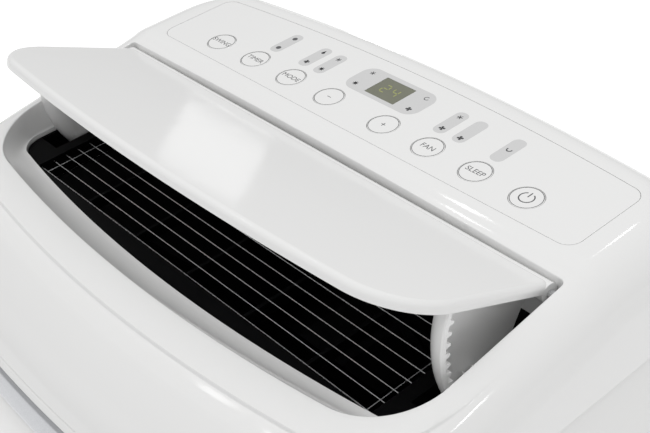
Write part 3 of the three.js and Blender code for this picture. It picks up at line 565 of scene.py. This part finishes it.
# ------------------------------------------------------------------ base, grips and fittings
# Moulded parts that clip into the shell: the base pan, the two grip cups, the collar for
# the exhaust hose, the rubber drain plugs and the gland where the mains lead comes out.
def eased(node, material, width):
    """A finished copy of a node of the frame: welded, with its sharp edges rounded."""
    work = bmesh.new()
    work.from_mesh(frame["nodes"][node].data)
    bmesh.ops.remove_doubles(work, verts=work.verts, dist=1e-5)
    bmesh.ops.dissolve_limit(work, angle_limit=math.radians(1), verts=work.verts, edges=work.edges)
    sharp = [edge for edge in work.edges
             if len(edge.link_faces) == 2 and edge.calc_face_angle() > math.radians(30)]
    soften(work, sharp, width, 2, clamp=True)
    finished(piece(node + "_moulding", work), body_by_node[node], material, [node], even=True)


def rubbery(name, colour, roughness):
    finish = Finish(name, specular_ior_level=0.3)
    dust = finish.noise(0.012, 4.0)
    lighter = tuple(channel * 1.5 + 0.004 for channel in colour)
    finish.feed("Base Color", finish.mix(dust.clip(0.45, 0.8), colour, lighter))
    finish.feed("Roughness", dust * 0.15 + roughness)
    finish.feed("Normal", finish.bump(finish.noise(0.0006), 0.00004))
    return finish.material


rubber = rubbery("rubber", (0.012, 0.012, 0.013), 0.62)
for node in ("base_pan", "grip_left", "grip_right", "exhaust_collar", "swing_pinion"):
    eased(node, satin.material, 0.5 * MM)
for node in ("drain_plug_upper", "drain_plug_lower", "cord_gland"):
    eased(node, rubber, 0.8 * MM)


# ------------------------------------------------------------------ key panel
# A thin white sheet let into the flat top. Grey marks are printed on it beside the keys,
# and eight round caps come up through it, each ringed by a fine printed line.
OVERLAY = dict(half=183.5 * MM, front=72.3 * MM, rear=144.5 * MM, front_bow=90.0,
               rear_bow=1560 * MM, front_corner=9 * MM, rear_corner=9 * MM)
OVERLAY_THICK = 1.2 * MM
KEY_RADIUS = 10 * MM
CUT_FOOT, CUT_HEAD = 680 * MM, 710 * MM
key_at = {}
for node in [node for node in body_by_node if node.startswith("key_")]:
    low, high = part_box(node)
    key_at[node] = ((low.x + high.x) / 2, (low.y + high.y) / 2)
KEY_ROW_Y = key_at["key_power"][1]
window_low, window_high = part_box("display_window")


def plate(points, low, high):
    """A flat plate with the given outline, between two heights, as a bmesh."""
    work = bmesh.new()
    rim = bmesh.ops.create_circle(work, cap_ends=True, segments=len(points), radius=1.0)["verts"]
    for vertex, point in zip(rim, points):
        vertex.co = Vector((point.x, point.y, low))
    grown = bmesh.ops.extrude_face_region(work, geom=work.faces[:])["geom"]
    bmesh.ops.translate(work, vec=(0, 0, high - low),
                        verts=[part for part in grown if isinstance(part, bmesh.types.BMVert)])
    bmesh.ops.recalc_face_normals(work, faces=work.faces)
    return work


def grown_rim(o, gap=0.0):
    """The points of an outline, moved out by a gap."""
    return [point + away * gap for point, away in outline(o)]


def key_holes(gap):
    """Cutters for the keys and the display window."""
    work = bmesh.new()
    for x, y in key_at.values():
        rod(work, KEY_RADIUS + gap, (x, y, CUT_FOOT), (x, y, CUT_HEAD), 48)
    block(work, (window_low.x - gap, window_low.y - gap, CUT_FOOT),
          (window_high.x + gap, window_high.y + gap, CUT_HEAD), 0.6 * MM, 2)
    return work


pocket = plate(grown_rim(OVERLAY, 0.3 * MM), PANEL_Z - OVERLAY_THICK - 0.1 * MM, PANEL_Z + 20 * MM)
carve(top_cover, pocket)
carve(top_cover, key_holes(0.3 * MM))
overlay = piece("key_panel", plate(grown_rim(OVERLAY), PANEL_Z - OVERLAY_THICK, PANEL_Z))
carve(overlay, key_holes(0.25 * MM))
ease_edges(overlay, 0.15 * MM, 60)
finished(overlay, "casing", white_gloss, ["control_overlay"], even=True)


def printed(name, colour):
    finish = Finish(name, ior=1.5, specular_ior_level=0.45)
    speck = finish.noise(0.0005, 1.0)
    paler = tuple(min(1.0, channel * 1.12) for channel in colour)
    finish.feed("Base Color", finish.mix(speck, colour, paler))
    finish.feed("Roughness", speck * 0.08 + 0.2)
    return finish.material


# How far the prints and letters stand up, the size of a printed sign, and the module that
# sets out the panel.
PRINT_RISE, LETTER_RISE = 0.03 * MM, 0.025 * MM
MARK = 1.4 * MM
UNIT = 10.4 * MM
pale_print = printed("pale_grey_print", (0.60, 0.60, 0.60))
dark_print = printed("dark_grey_print", (0.10, 0.10, 0.105))
lit_print = printed("segment_tint", (0.34, 0.36, 0.13))


def lettering(words, height, x, y):
    """Thin printed letters on the panel, centred on a point, as a bmesh."""
    curve = bpy.data.curves.new(words, "FONT")
    curve.body = words
    curve.size = height / 0.7
    curve.align_x, curve.align_y = "CENTER", "CENTER"
    curve.extrude = LETTER_RISE
    text = bpy.data.objects.new(words, curve)
    bpy.context.scene.collection.objects.link(text)
    bpy.context.view_layer.update()
    graph = bpy.context.evaluated_depsgraph_get()
    mesh = bpy.data.meshes.new_from_object(text.evaluated_get(graph))
    bpy.data.objects.remove(text)
    work = bmesh.new()
    work.from_mesh(mesh)
    bmesh.ops.remove_doubles(work, verts=work.verts, dist=1e-6)
    across = [vertex.co.x for vertex in work.verts]
    middle = (min(across) + max(across)) / 2
    bmesh.ops.translate(work, verts=work.verts, vec=(x - middle, y, PANEL_Z))
    return work


def added(work, other, material=0):
    """Moves everything in another bmesh into this one, with a material number."""
    for face in other.faces:
        face.material_index = material
    mesh = bpy.data.meshes.new("part")
    other.to_mesh(mesh)
    other.free()
    work.from_mesh(mesh)
    bpy.data.meshes.remove(mesh)


def turned(work, verts, degrees):
    """Turns points about the upright axis."""
    bmesh.ops.rotate(work, verts=verts, cent=(0, 0, 0),
                     matrix=Matrix.Rotation(math.radians(degrees), 3, "Z"))


def arc(x, y, radius, width, start=0, sweep=360):
    """A flat ring or part of a ring, printed on the panel."""
    work = bmesh.new()
    made = bmesh.ops.create_grid(work, x_segments=1, y_segments=1, size=0.5)["verts"]
    for vertex in made:
        vertex.co = Vector((radius + vertex.co.x * width, 0, vertex.co.y * 2 * PRINT_RISE))
    turned(work, made, start)
    faces = work.faces[:]
    full = sweep >= 360
    bmesh.ops.spin(work, geom=work.verts[:] + work.edges[:] + faces, cent=(0, 0, 0), axis=(0, 0, 1),
                   angle=math.radians(sweep), steps=max(8, int(sweep / 9)), use_merge=full)
    if full:
        for face in [face for face in faces if face.is_valid]:
            bmesh.ops.delete(work, geom=[face], context="FACES_ONLY")
    bmesh.ops.remove_doubles(work, verts=work.verts, dist=1e-7)
    bmesh.ops.recalc_face_normals(work, faces=work.faces)
    bmesh.ops.translate(work, verts=work.verts, vec=(x, y, PANEL_Z))
    return work


def disc(x, y, radius, sides=20):
    work = bmesh.new()
    rod(work, radius, (x, y, PANEL_Z - PRINT_RISE), (x, y, PANEL_Z + PRINT_RISE), sides)
    return work


def bar(x, y, length, width, turn):
    work = bmesh.new()
    block(work, (-length / 2, -width / 2, PANEL_Z - PRINT_RISE),
          (length / 2, width / 2, PANEL_Z + PRINT_RISE), width * 0.45, 2, 3)
    turned(work, work.verts, turn)
    bmesh.ops.translate(work, verts=work.verts, vec=(x, y, 0))
    return work


def lamp(x, y):
    return [disc(x, y, 1.35 * MARK)]


def snow(x, y):
    return [bar(x, y, 3.0 * MARK, 0.42 * MARK, turn) for turn in (0, 60, 120)]


def sun(x, y):
    rays = [bar(x, y, 3.1 * MARK, 0.36 * MARK, turn) for turn in (0, 45, 90, 135)]
    return [disc(x, y, 0.85 * MARK)] + rays


def fan(x, y):
    turns = [math.radians(turn) for turn in (20, 110, 200, 290)]
    tips = [disc(x + 0.95 * MARK * math.cos(turn), y + 0.95 * MARK * math.sin(turn), 0.62 * MARK, 14)
            for turn in turns]
    return tips + [bar(x, y, 1.8 * MARK, 0.5 * MARK, turn) for turn in (20, 110)]


def drop(x, y):
    return [disc(x, y - 0.3 * MARK, 0.95 * MARK), bar(x, y + 0.55 * MARK, 2.2 * MARK, 0.9 * MARK, 90)]


def moon(x, y):
    return [arc(x, y, 1.15 * MARK, 0.6 * MARK, 150, 230)]


def loop(x, y):
    return [arc(x, y, 1.15 * MARK, 0.42 * MARK, 60, 290)]


# Grey strips behind the signs: place along the row, then two signs and their heights above
# the row of keys, all in units. The wider group behind the display has four signs.
PILLS = {-9.6: (lamp, 1.9, lamp, 3.3), -6.73: (fan, 1.88, drop, 3.3), -5.28: (sun, 1.88, snow, 3.3),
         5.27: (fan, 1.87, snow, 3.33), 6.77: (fan, 1.8, None, 0), 9.63: (moon, 2.68, None, 0)}
GROUP = dict(half=3.05 * UNIT, front=1.47 * UNIT, rear=4.15 * UNIT, corner=0.85 * UNIT)
GROUP_MARKS = ((snow, -2.35, 3.55), (sun, -2.33, 2.08), (loop, 2.35, 3.55), (fan, 2.33, 2.08))
PALE, DARK = 0, 1
prints = bmesh.new()
for units, (first, first_y, second, second_y) in PILLS.items():
    x = units * UNIT
    strip = bmesh.new()
    block(strip, (x - 0.45 * UNIT, KEY_ROW_Y + 1.35 * UNIT, PANEL_Z - PRINT_RISE / 2),
          (x + 0.45 * UNIT, KEY_ROW_Y + 3.85 * UNIT, PANEL_Z + PRINT_RISE / 2), 0.4 * UNIT, 2, 8)
    added(prints, strip, PALE)
    for draw, y in ((first, first_y), (second, second_y)):
        if draw:
            for shape in draw(x, KEY_ROW_Y + y * UNIT):
                added(prints, shape, DARK)
group = bmesh.new()
block(group, (-GROUP["half"], KEY_ROW_Y + GROUP["front"], PANEL_Z - PRINT_RISE / 2),
      (GROUP["half"], KEY_ROW_Y + GROUP["rear"], PANEL_Z + PRINT_RISE / 2), GROUP["corner"], 2, 10)
group_mesh = piece("display_group", group)
window_gap = bmesh.new()
block(window_gap, (window_low.x - 0.2 * MM, window_low.y - 0.2 * MM, PANEL_Z - MM),
      (window_high.x + 0.2 * MM, window_high.y + 0.2 * MM, PANEL_Z + MM))
carve(group_mesh, window_gap)
cut_group = bmesh.new()
cut_group.from_mesh(group_mesh.data)
bpy.data.objects.remove(group_mesh)
added(prints, cut_group, PALE)
for draw, x, y in GROUP_MARKS:
    for shape in draw(x * UNIT, KEY_ROW_Y + y * UNIT):
        added(prints, shape, DARK)
finished(piece("panel_print", prints), "casing", [pale_print, dark_print])


def edges_at(work, level):
    """The edges that lie at one height."""
    return [edge for edge in work.edges if all(abs(vertex.co.z - level) < 1e-5 for vertex in edge.verts)]


RING_RADIUS, RING_WIDE, LETTER_HIGH = 9.35 * MM, 0.4 * MM, 3.9 * MM
for node, (x, y) in key_at.items():
    name = node[len("key_"):]
    cap = bmesh.new()
    rod(cap, KEY_RADIUS, (x, y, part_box(node)[0].z), (x, y, PANEL_Z), 64)
    soften(cap, edges_at(cap, PANEL_Z), 0.45 * MM, 3)
    marks = [arc(x, y, RING_RADIUS, RING_WIDE)]
    if name in ("minus", "plus"):
        marks += [bar(x, y, 3.4 * MM, 0.5 * MM, turn) for turn in ((0,) if name == "minus" else (0, 90))]
    elif name == "power":
        marks += [arc(x, y, 4.4 * MM, 0.75 * MM, 118, 304),
                  bar(x, y + 2.9 * MM, 4.6 * MM, 0.75 * MM, 90)]
    else:
        marks.append(lettering(name.upper(), LETTER_HIGH, x, y))
    for mark in marks:
        added(cap, mark, DARK)
    finished(piece(node + "_cap", cap), node, [white_gloss, dark_print], [node], even=True)


def coated(node, material):
    """Gives a node of the frame its material."""
    materials = frame["nodes"][node].data.materials
    materials.clear()
    materials.append(material)


window = Finish("smoked_window", ior=1.5, specular_ior_level=0.5, coat_weight=0.4, coat_roughness=0.05)
window.feed("Base Color", window.mix(window.noise(0.008, 2.0), (0.155, 0.16, 0.115), (0.185, 0.19, 0.14)))
window.feed("Roughness", window.noise(0.003) * 0.05 + 0.12)
coated("display_window", window.material)

DIGIT_HIGH, DIGIT_WIDE, STROKE = 8.0 * MM, 4.4 * MM, 0.8 * MM
SEGMENTS = {"2": "abged", "4": "fgbc"}
digits = bmesh.new()


def segment(letter, x, y):
    """One lit bar of a seven-bar figure, on the window."""
    half, quarter = DIGIT_HIGH / 2, DIGIT_HIGH / 4
    across, upright = DIGIT_WIDE - STROKE * 1.2, half - STROKE * 1.2
    places = {"a": (0, half, across, 0), "g": (0, 0, across, 0), "d": (0, -half, across, 0),
              "b": (1, quarter, upright, 90), "c": (1, -quarter, upright, 90),
              "f": (-1, quarter, upright, 90), "e": (-1, -quarter, upright, 90)}
    side, rise, length, turn = places[letter]
    shape = bar(x + side * DIGIT_WIDE / 2, y + rise, length, STROKE, turn)
    bmesh.ops.translate(shape, verts=shape.verts, vec=(0, 0, window_high.z - PANEL_Z))
    return shape


for figure, x in (("2", -4.2 * MM), ("4", 4.2 * MM)):
    for letter in SEGMENTS[figure]:
        added(digits, segment(letter, x, (window_low.y + window_high.y) / 2))
finished(piece("display_digits", digits), "casing", lit_print)


# ------------------------------------------------------------------ swing flap
# One white moulding: a wide plate with a short turned-down rim and a rolled rear edge that
# closes round the hinge line. It stands half open and lies flush with the top when shut.
HINGE = Vector((0, 48.7 * MM, 690 * MM))
FLAP_TURN = Matrix.Translation(HINGE) @ Matrix.Rotation(math.radians(-25), 4, "X")
FLAP_TOP, FLAP_PLATE, FLAP_RIM, RIM_WIDE = 5.7 * MM, 3.2 * MM, 6.4 * MM, 4.5 * MM
FLAP_OUTLINE = dict(half=190.4 * MM, front=-121 * MM, rear=0.2 * MM, front_bow=1400 * MM,
                    rear_bow=90.0, front_corner=40 * MM, rear_corner=5 * MM)
HOLLOW = dict(FLAP_OUTLINE, rear=-4 * MM, front=FLAP_OUTLINE["front"] + RIM_WIDE,
              **{label: FLAP_OUTLINE[label] - RIM_WIDE for label in ("half", "front_bow", "front_corner")})
flap_work = plate(grown_rim(FLAP_OUTLINE), FLAP_TOP - FLAP_RIM, FLAP_TOP)
soften(flap_work, edges_at(flap_work, FLAP_TOP), 3.4 * MM, 7)
soften(flap_work, edges_at(flap_work, FLAP_TOP - FLAP_RIM), 0.7 * MM, 2)
flap = piece("swing_flap_moulding", flap_work)
carve(flap, plate(grown_rim(HOLLOW), -20 * MM, FLAP_TOP - FLAP_PLATE))
roll = bmesh.new()
rod(roll, FLAP_TOP, (-FLAP_OUTLINE["half"], 0, 0), (FLAP_OUTLINE["half"], 0, 0), 48)
carve(flap, roll, "UNION")
flap.data.transform(FLAP_TURN)
finished(flap, "flap", white_gloss, ["swing_flap"], 30, even=True)


# ------------------------------------------------------------------ fins under the flap
# A quarter-round fin at each end of the flap turns with it and closes the side of the air
# stream. The right one has teeth moulded inside its rim, which the swing motor drives.
FIN_RADIUS, RIM_DEEP = 74.6 * MM, 3 * MM
FIN_INNER, FIN_BACK, FIN_OUTER = 174.4 * MM, 178 * MM, 189 * MM
FIN_CORNER, CORNER_STEPS, FIN_EDGE, HUB_RADIUS = 12.5 * MM, 8, 0.8 * MM, 5.2 * MM
FIN_START, FIN_SWEEP = -1, 84
# Seventy teeth would go full round; the fin carries fifteen. A tooth's half widths at root
# and tip are shares of the pitch.
TOOTH_PITCH, TEETH = 360 / 70, 15
TOOTH_ROOT, TOOTH_TIP = FIN_RADIUS - 1.5 * MM, 68.3 * MM
ROOT_HALF, TIP_HALF = 0.36, 0.11


def fin_section(work):
    """Half section of a fin, from its hub out to its rim."""
    points = [(FIN_BACK, 5 * MM), (FIN_INNER, 5 * MM), (FIN_INNER, FIN_RADIUS - FIN_CORNER)]
    for step in range(1, CORNER_STEPS + 1):
        turn = math.pi / 2 * step / CORNER_STEPS
        points.append((FIN_INNER + FIN_CORNER * (1 - math.cos(turn)),
                       FIN_RADIUS - FIN_CORNER + FIN_CORNER * math.sin(turn)))
    points += [(FIN_OUTER - FIN_EDGE, FIN_RADIUS), (FIN_OUTER, FIN_RADIUS - FIN_EDGE),
               (FIN_OUTER, FIN_RADIUS - RIM_DEEP), (FIN_BACK + 8 * MM, FIN_RADIUS - RIM_DEEP),
               (FIN_BACK, FIN_RADIUS - RIM_DEEP - 8 * MM)]
    rim = bmesh.ops.create_circle(work, cap_ends=True, segments=len(points), radius=1.0)["verts"]
    for vertex, (x, radius) in zip(rim, points):
        vertex.co = Vector((x, -radius, 0))


for side, node in ((-1, "fin_left"), (1, "fin_right")):
    fin_work = bmesh.new()
    fin_section(fin_work)
    bmesh.ops.rotate(fin_work, verts=fin_work.verts, cent=(0, 0, 0),
                     matrix=Matrix.Rotation(math.radians(FIN_START), 3, "X"))
    bmesh.ops.spin(fin_work, geom=fin_work.verts[:] + fin_work.edges[:] + fin_work.faces[:],
                   cent=(0, 0, 0), axis=(1, 0, 0), angle=math.radians(FIN_SWEEP), steps=42)
    rod(fin_work, HUB_RADIUS, (FIN_INNER, 0, 0), (FIN_BACK + 8 * MM, 0, 0), 32)
    if side > 0:
        tooth = bmesh.new()
        block(tooth, (FIN_BACK + 5.5 * MM, -1, -1), (FIN_OUTER - 0.4 * MM, 1, 1))
        for vertex in tooth.verts:
            radius, half_tooth = (TOOTH_ROOT, ROOT_HALF) if vertex.co.y < 0 else (TOOTH_TIP, TIP_HALF)
            share = 0.68 + half_tooth * (1 if vertex.co.z > 0 else -1)
            turn = math.radians(2 + TOOTH_PITCH * share)
            vertex.co = Vector((vertex.co.x, -radius * math.cos(turn), -radius * math.sin(turn)))
        bmesh.ops.spin(tooth, geom=tooth.verts[:] + tooth.edges[:] + tooth.faces[:], cent=(0, 0, 0),
                       axis=(1, 0, 0), angle=math.radians(TOOTH_PITCH * (TEETH - 1)), steps=TEETH - 1,
                       use_duplicate=True)
        added(fin_work, tooth)
    if side < 0:
        bmesh.ops.transform(fin_work, matrix=Matrix.Diagonal((-1, 1, 1, 1)), verts=fin_work.verts)
    bmesh.ops.recalc_face_normals(fin_work, faces=fin_work.faces)
    bmesh.ops.transform(fin_work, matrix=FLAP_TURN, verts=fin_work.verts)
    finished(piece(node + "_moulding", fin_work), "flap", white_gloss, [node], 32)


# ------------------------------------------------------------------ air outlet
# Deep in the recess: a glossy black frame with five ribs over the black duct, and a guard of
# thin steel wires stretched across it from side to side.
def dark_plastic(name, colour, roughness, level):
    finish = Finish(name, ior=1.45, specular_ior_level=level)
    haze = finish.noise(0.03, 3.0)
    finish.feed("Base Color", finish.mix(haze, colour, tuple(channel * 1.4 for channel in colour)))
    finish.feed("Roughness", haze * 0.06 + roughness)
    finish.feed("Normal", finish.bump(finish.noise(0.0008), 0.00002))
    return finish.material


def bare_metal(name, colour, roughness):
    finish = Finish(name, metallic=1.0)
    streak = finish.noise(0.0015, 3.0)
    finish.feed("Base Color", finish.mix(streak, tuple(channel * 0.82 for channel in colour), colour))
    finish.feed("Roughness", streak * 0.15 + roughness)
    finish.feed("Normal", finish.bump(streak, 0.00001))
    return finish.material


black_gloss = dark_plastic("black_gloss", (0.0022, 0.0022, 0.0025), 0.3, 0.06)
black_satin = dark_plastic("black_satin", (0.011, 0.011, 0.012), 0.45, 0.3)
steel = bare_metal("steel", (0.74, 0.75, 0.76), 0.2)
frame_low, frame_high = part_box("outlet_frame")
BAY_X, BAYS, RIB, RIB_SUNK = 163 * MM, 6, 2.4 * MM, 5.6 * MM
OUTLET_Y = (-51 * MM, 46 * MM)
FIN_SLOT, FIN_SLOT_Y = (172 * MM, 190.6 * MM), (-32 * MM, 60 * MM)
CUT_SPARE = 10 * MM
outlet_frame = piece("outlet_frame_moulding", plate(grown_rim(THROAT, -0.4 * MM), frame_low.z, frame_high.z))
well = bmesh.new()
block(well, (-BAY_X, OUTLET_Y[0], frame_high.z - RIB_SUNK), (BAY_X, OUTLET_Y[1], frame_high.z + MM),
      2 * MM, 2)
carve(outlet_frame, well)
bays = bmesh.new()
for number in range(BAYS):
    left = -BAY_X + 2 * BAY_X * number / BAYS
    block(bays, (left + RIB / 2, OUTLET_Y[0], frame_low.z - CUT_SPARE),
          (left + 2 * BAY_X / BAYS - RIB / 2, OUTLET_Y[1], frame_high.z), 1.5 * MM, 2)
for side in (-1, 1):
    left, right = sorted(side * x for x in FIN_SLOT)
    block(bays, (left, FIN_SLOT_Y[0], frame_low.z - CUT_SPARE),
          (right, FIN_SLOT_Y[1], frame_high.z + CUT_SPARE))
carve(outlet_frame, bays)
finished(outlet_frame, "casing", black_gloss, ["outlet_frame"], even=True)
wires = bmesh.new()
guard_low, guard_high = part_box("outlet_wires")
WIRES, WIRE_PITCH, WIRE_RADIUS, WIRE_SIDES = 11, 9.3 * MM, 0.34 * MM, 10
WIRE_Z, ROD_Z, ROD_IN = 658.6 * MM, 657.1 * MM, 5.6 * MM
first = (guard_low.y + guard_high.y) / 2 - WIRE_PITCH * (WIRES - 1) / 2
for number in range(WIRES):
    y = first + WIRE_PITCH * number
    rod(wires, WIRE_RADIUS, (guard_low.x, y, WIRE_Z), (guard_high.x, y, WIRE_Z), WIRE_SIDES)
for x in (ROD_IN - guard_high.x, guard_high.x - ROD_IN):
    rod(wires, WIRE_RADIUS, (x, guard_low.y, ROD_Z), (x, guard_high.y, ROD_Z), WIRE_SIDES)
finished(piece("wire_guard", wires), "casing", steel, ["outlet_wires"], 50)


# ------------------------------------------------------------------ casters and filters
# Black nylon twin-flange casters on steel stems, and the two slide-out filter frames with
# their fine nylon mesh.
# Half section of a wheel, in millimetres: across, and out from its bore.
WHEEL_SIDE = [(8.4, 3.6), (8.4, 6.5), (6.2, 8.0), (6.2, 13.0), (8.4, 14.4), (8.4, 16.2), (7.2, 17.7),
              (5.8, 18.0)]
WHEEL_SECTION = [(-x, radius) for x, radius in WHEEL_SIDE] + WHEEL_SIDE[::-1]
for node in [node for node in body_by_node if node.startswith("caster_fork")]:
    eased(node, black_satin, 0.6 * MM)
for node in [node for node in body_by_node if node.startswith("caster_wheel")]:
    low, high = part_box(node)
    middle = (low + high) / 2
    wheel = bmesh.new()
    rim = bmesh.ops.create_circle(wheel, segments=len(WHEEL_SECTION), radius=1.0)["verts"]
    for vertex, (x, radius) in zip(rim, WHEEL_SECTION):
        vertex.co = Vector((x * MM, 0, radius * MM))
    bmesh.ops.spin(wheel, geom=wheel.verts[:] + wheel.edges[:], cent=(0, 0, 0), axis=(1, 0, 0),
                   angle=math.tau, steps=48, use_merge=True)
    bmesh.ops.remove_doubles(wheel, verts=wheel.verts, dist=1e-6)
    bmesh.ops.recalc_face_normals(wheel, faces=wheel.faces)
    bmesh.ops.translate(wheel, verts=wheel.verts, vec=middle)
    finished(piece(node + "_tyre", wheel), body_by_node[node], black_satin, [node])

mesh_cloth = Finish("filter_mesh", specular_ior_level=0.3)
across, upward = [mesh_cloth.node("ShaderNodeTexWave", {"bands_direction": direction},
                                  {"Vector": mesh_cloth.place(), "Scale": 160.0}) for direction in "XZ"]
weave = across.math("MAXIMUM", across, upward)
mesh_cloth.feed("Base Color", mesh_cloth.mix(weave.clip(0.55, 0.95),
                                             (0.006, 0.006, 0.006), (0.06, 0.06, 0.062)))
mesh_cloth.feed("Roughness", weave * 0.1 + 0.5)
mesh_cloth.feed("Normal", mesh_cloth.bump(weave, 0.00015))
for node in ("filter_upper", "filter_lower"):
    eased(node, mesh_cloth.material, 0.5 * MM)


# ------------------------------------------------------------------ works inside the casing
# Ducts, blowers, motors, coils, pipes, compressor and board, all shut in behind the shell.
aluminium = bare_metal("aluminium", (0.66, 0.67, 0.69), 0.3)
copper = bare_metal("copper", (0.72, 0.36, 0.20), 0.28)
black_paint = dark_plastic("black_paint", (0.010, 0.010, 0.011), 0.34, 0.4)
board = rubbery("board", (0.02, 0.09, 0.035), 0.45)
works = {
    black_gloss: ["outlet_duct"],
    black_satin: ["blower_scroll", "blower_wheel", "condenser_scroll", "condenser_fan",
                  "exhaust_duct", "drip_tray", "electrical_box"],
    steel: ["hinge_pin_left", "hinge_pin_right", "swing_motor", "blower_motor", "condenser_motor"],
    aluminium: ["evaporator_coil", "condenser_coil", "run_capacitor"],
    copper: ["suction_pipe", "discharge_pipe"],
    black_paint: ["compressor", "accumulator"],
    board: ["control_board"],
}
for material, names in works.items():
    for node in names:
        coated(node, material)


# ------------------------------------------------------------------ floor, light and camera
# A pale studio sweep, soft light from above, and a few small bright panels whose reflections
# show on the polished top.
floor_work = bmesh.new()
bmesh.ops.create_grid(floor_work, x_segments=1, y_segments=1, size=8.0)
floor = piece("floor", floor_work)
floor_finish = Finish("studio_floor", specular_ior_level=0.0, emission_strength=0.45)
floor_finish.feed("Base Color", floor_finish.mix(floor_finish.noise(0.8),
                                                 (0.90, 0.90, 0.90), (0.91, 0.91, 0.91)))
floor_finish.shader.inputs["Emission Color"].default_value = (1, 1, 1, 1)
floor_finish.shader.inputs["Roughness"].default_value = 0.9
floor.data.materials.append(floor_finish.material)

world = bpy.data.worlds.new("studio")
bpy.context.scene.world = world
world.use_nodes = True
background = world.node_tree.nodes["Background"]
background.inputs["Color"].default_value = (1, 1, 1, 1)
background.inputs["Strength"].default_value = 0.5


def softbox(name, place, aim, width, height, power):
    """A flat rectangular lamp that faces a point."""
    light = bpy.data.lights.new(name, "AREA")
    light.shape = "RECTANGLE"
    light.size, light.size_y = width, height
    light.energy = power
    lamp_object = bpy.data.objects.new(name, light)
    bpy.context.scene.collection.objects.link(lamp_object)
    lamp_object.location = place
    lamp_object.rotation_euler = (Vector(aim) - Vector(place)).to_track_quat("-Z", "Y").to_euler()
    return lamp_object


for name, place, width, height, power in (
        ("overhead", (0.3, -0.1, 2.75), 2.4, 1.6, 27.5),
        ("left_side", (-2.2, -0.1, 2.0), 1.4, 1.4, 4)):
    softbox(name, place, (0, 0, 0.7), width, height, power).visible_glossy = False


def glint(name, seen_from, toward, distance, width, height, brightness):
    """A small bright panel that shows only as a reflection in polished skin."""
    place = Vector(seen_from) + Vector(toward).normalized() * distance
    power = brightness * math.pi * width * height
    panel_light = softbox(name, place, seen_from, width, height, power)
    panel_light.visible_diffuse = False
    panel_light.visible_camera = False


glint("flap_reflection", (0.0, -0.013, 0.725), (-0.726, 0.687, 0.022), 4.0, 0.36, 0.26, 0.7)
glint("lip_reflection", (0.09, -0.07, 0.668), (-0.671, 0.722, -0.20), 3.0, 0.16, 0.2, 4.0)
glint("shoulder_reflection", (0.21, -0.026, 0.678), (0.686, 0.248, 0.684), 3.0, 0.16, 0.16, 12.0)
glint("corner_reflection", (0.194, 0.102, 0.70), (-0.305, 0.637, 0.708), 3.0, 0.14, 0.14, 10.0)
glint("front_reflection", (0.107, -0.101, 0.673), (-0.624, -0.02, 0.781), 3.0, 0.3, 0.12, 4.0)
glint("fall_reflection", (0.119, 0.065, 0.699), (-0.569, 0.234, 0.788), 3.0, 0.16, 0.1, 8.0)

AZIMUTH, ELEVATION, ROLL = math.radians(53.85), math.radians(36.6), math.radians(-7.71)
CAMERA_PLACE, LENS = (0.48724, -0.29869, 1.08584), 66.21
back = Vector((math.sin(AZIMUTH) * math.cos(ELEVATION), -math.cos(AZIMUTH) * math.cos(ELEVATION),
               math.sin(ELEVATION)))
right = (-back).cross(Vector((0, 0, 1))).normalized()
upward_axis = right.cross(-back)
tilted_right = right * math.cos(ROLL) + upward_axis * math.sin(ROLL)
tilted_up = upward_axis * math.cos(ROLL) - right * math.sin(ROLL)
camera_data = bpy.data.cameras.new("camera")
camera_data.sensor_width = 36
camera_data.lens = LENS
camera = bpy.data.objects.new("camera", camera_data)
bpy.context.scene.collection.objects.link(camera)
camera_turn = Matrix((tilted_right, tilted_up, back)).transposed().to_4x4()
camera.matrix_world = Matrix.Translation(CAMERA_PLACE) @ camera_turn
bpy.context.scene.camera = camera
bpy.context.scene.view_settings.view_transform = "Standard"
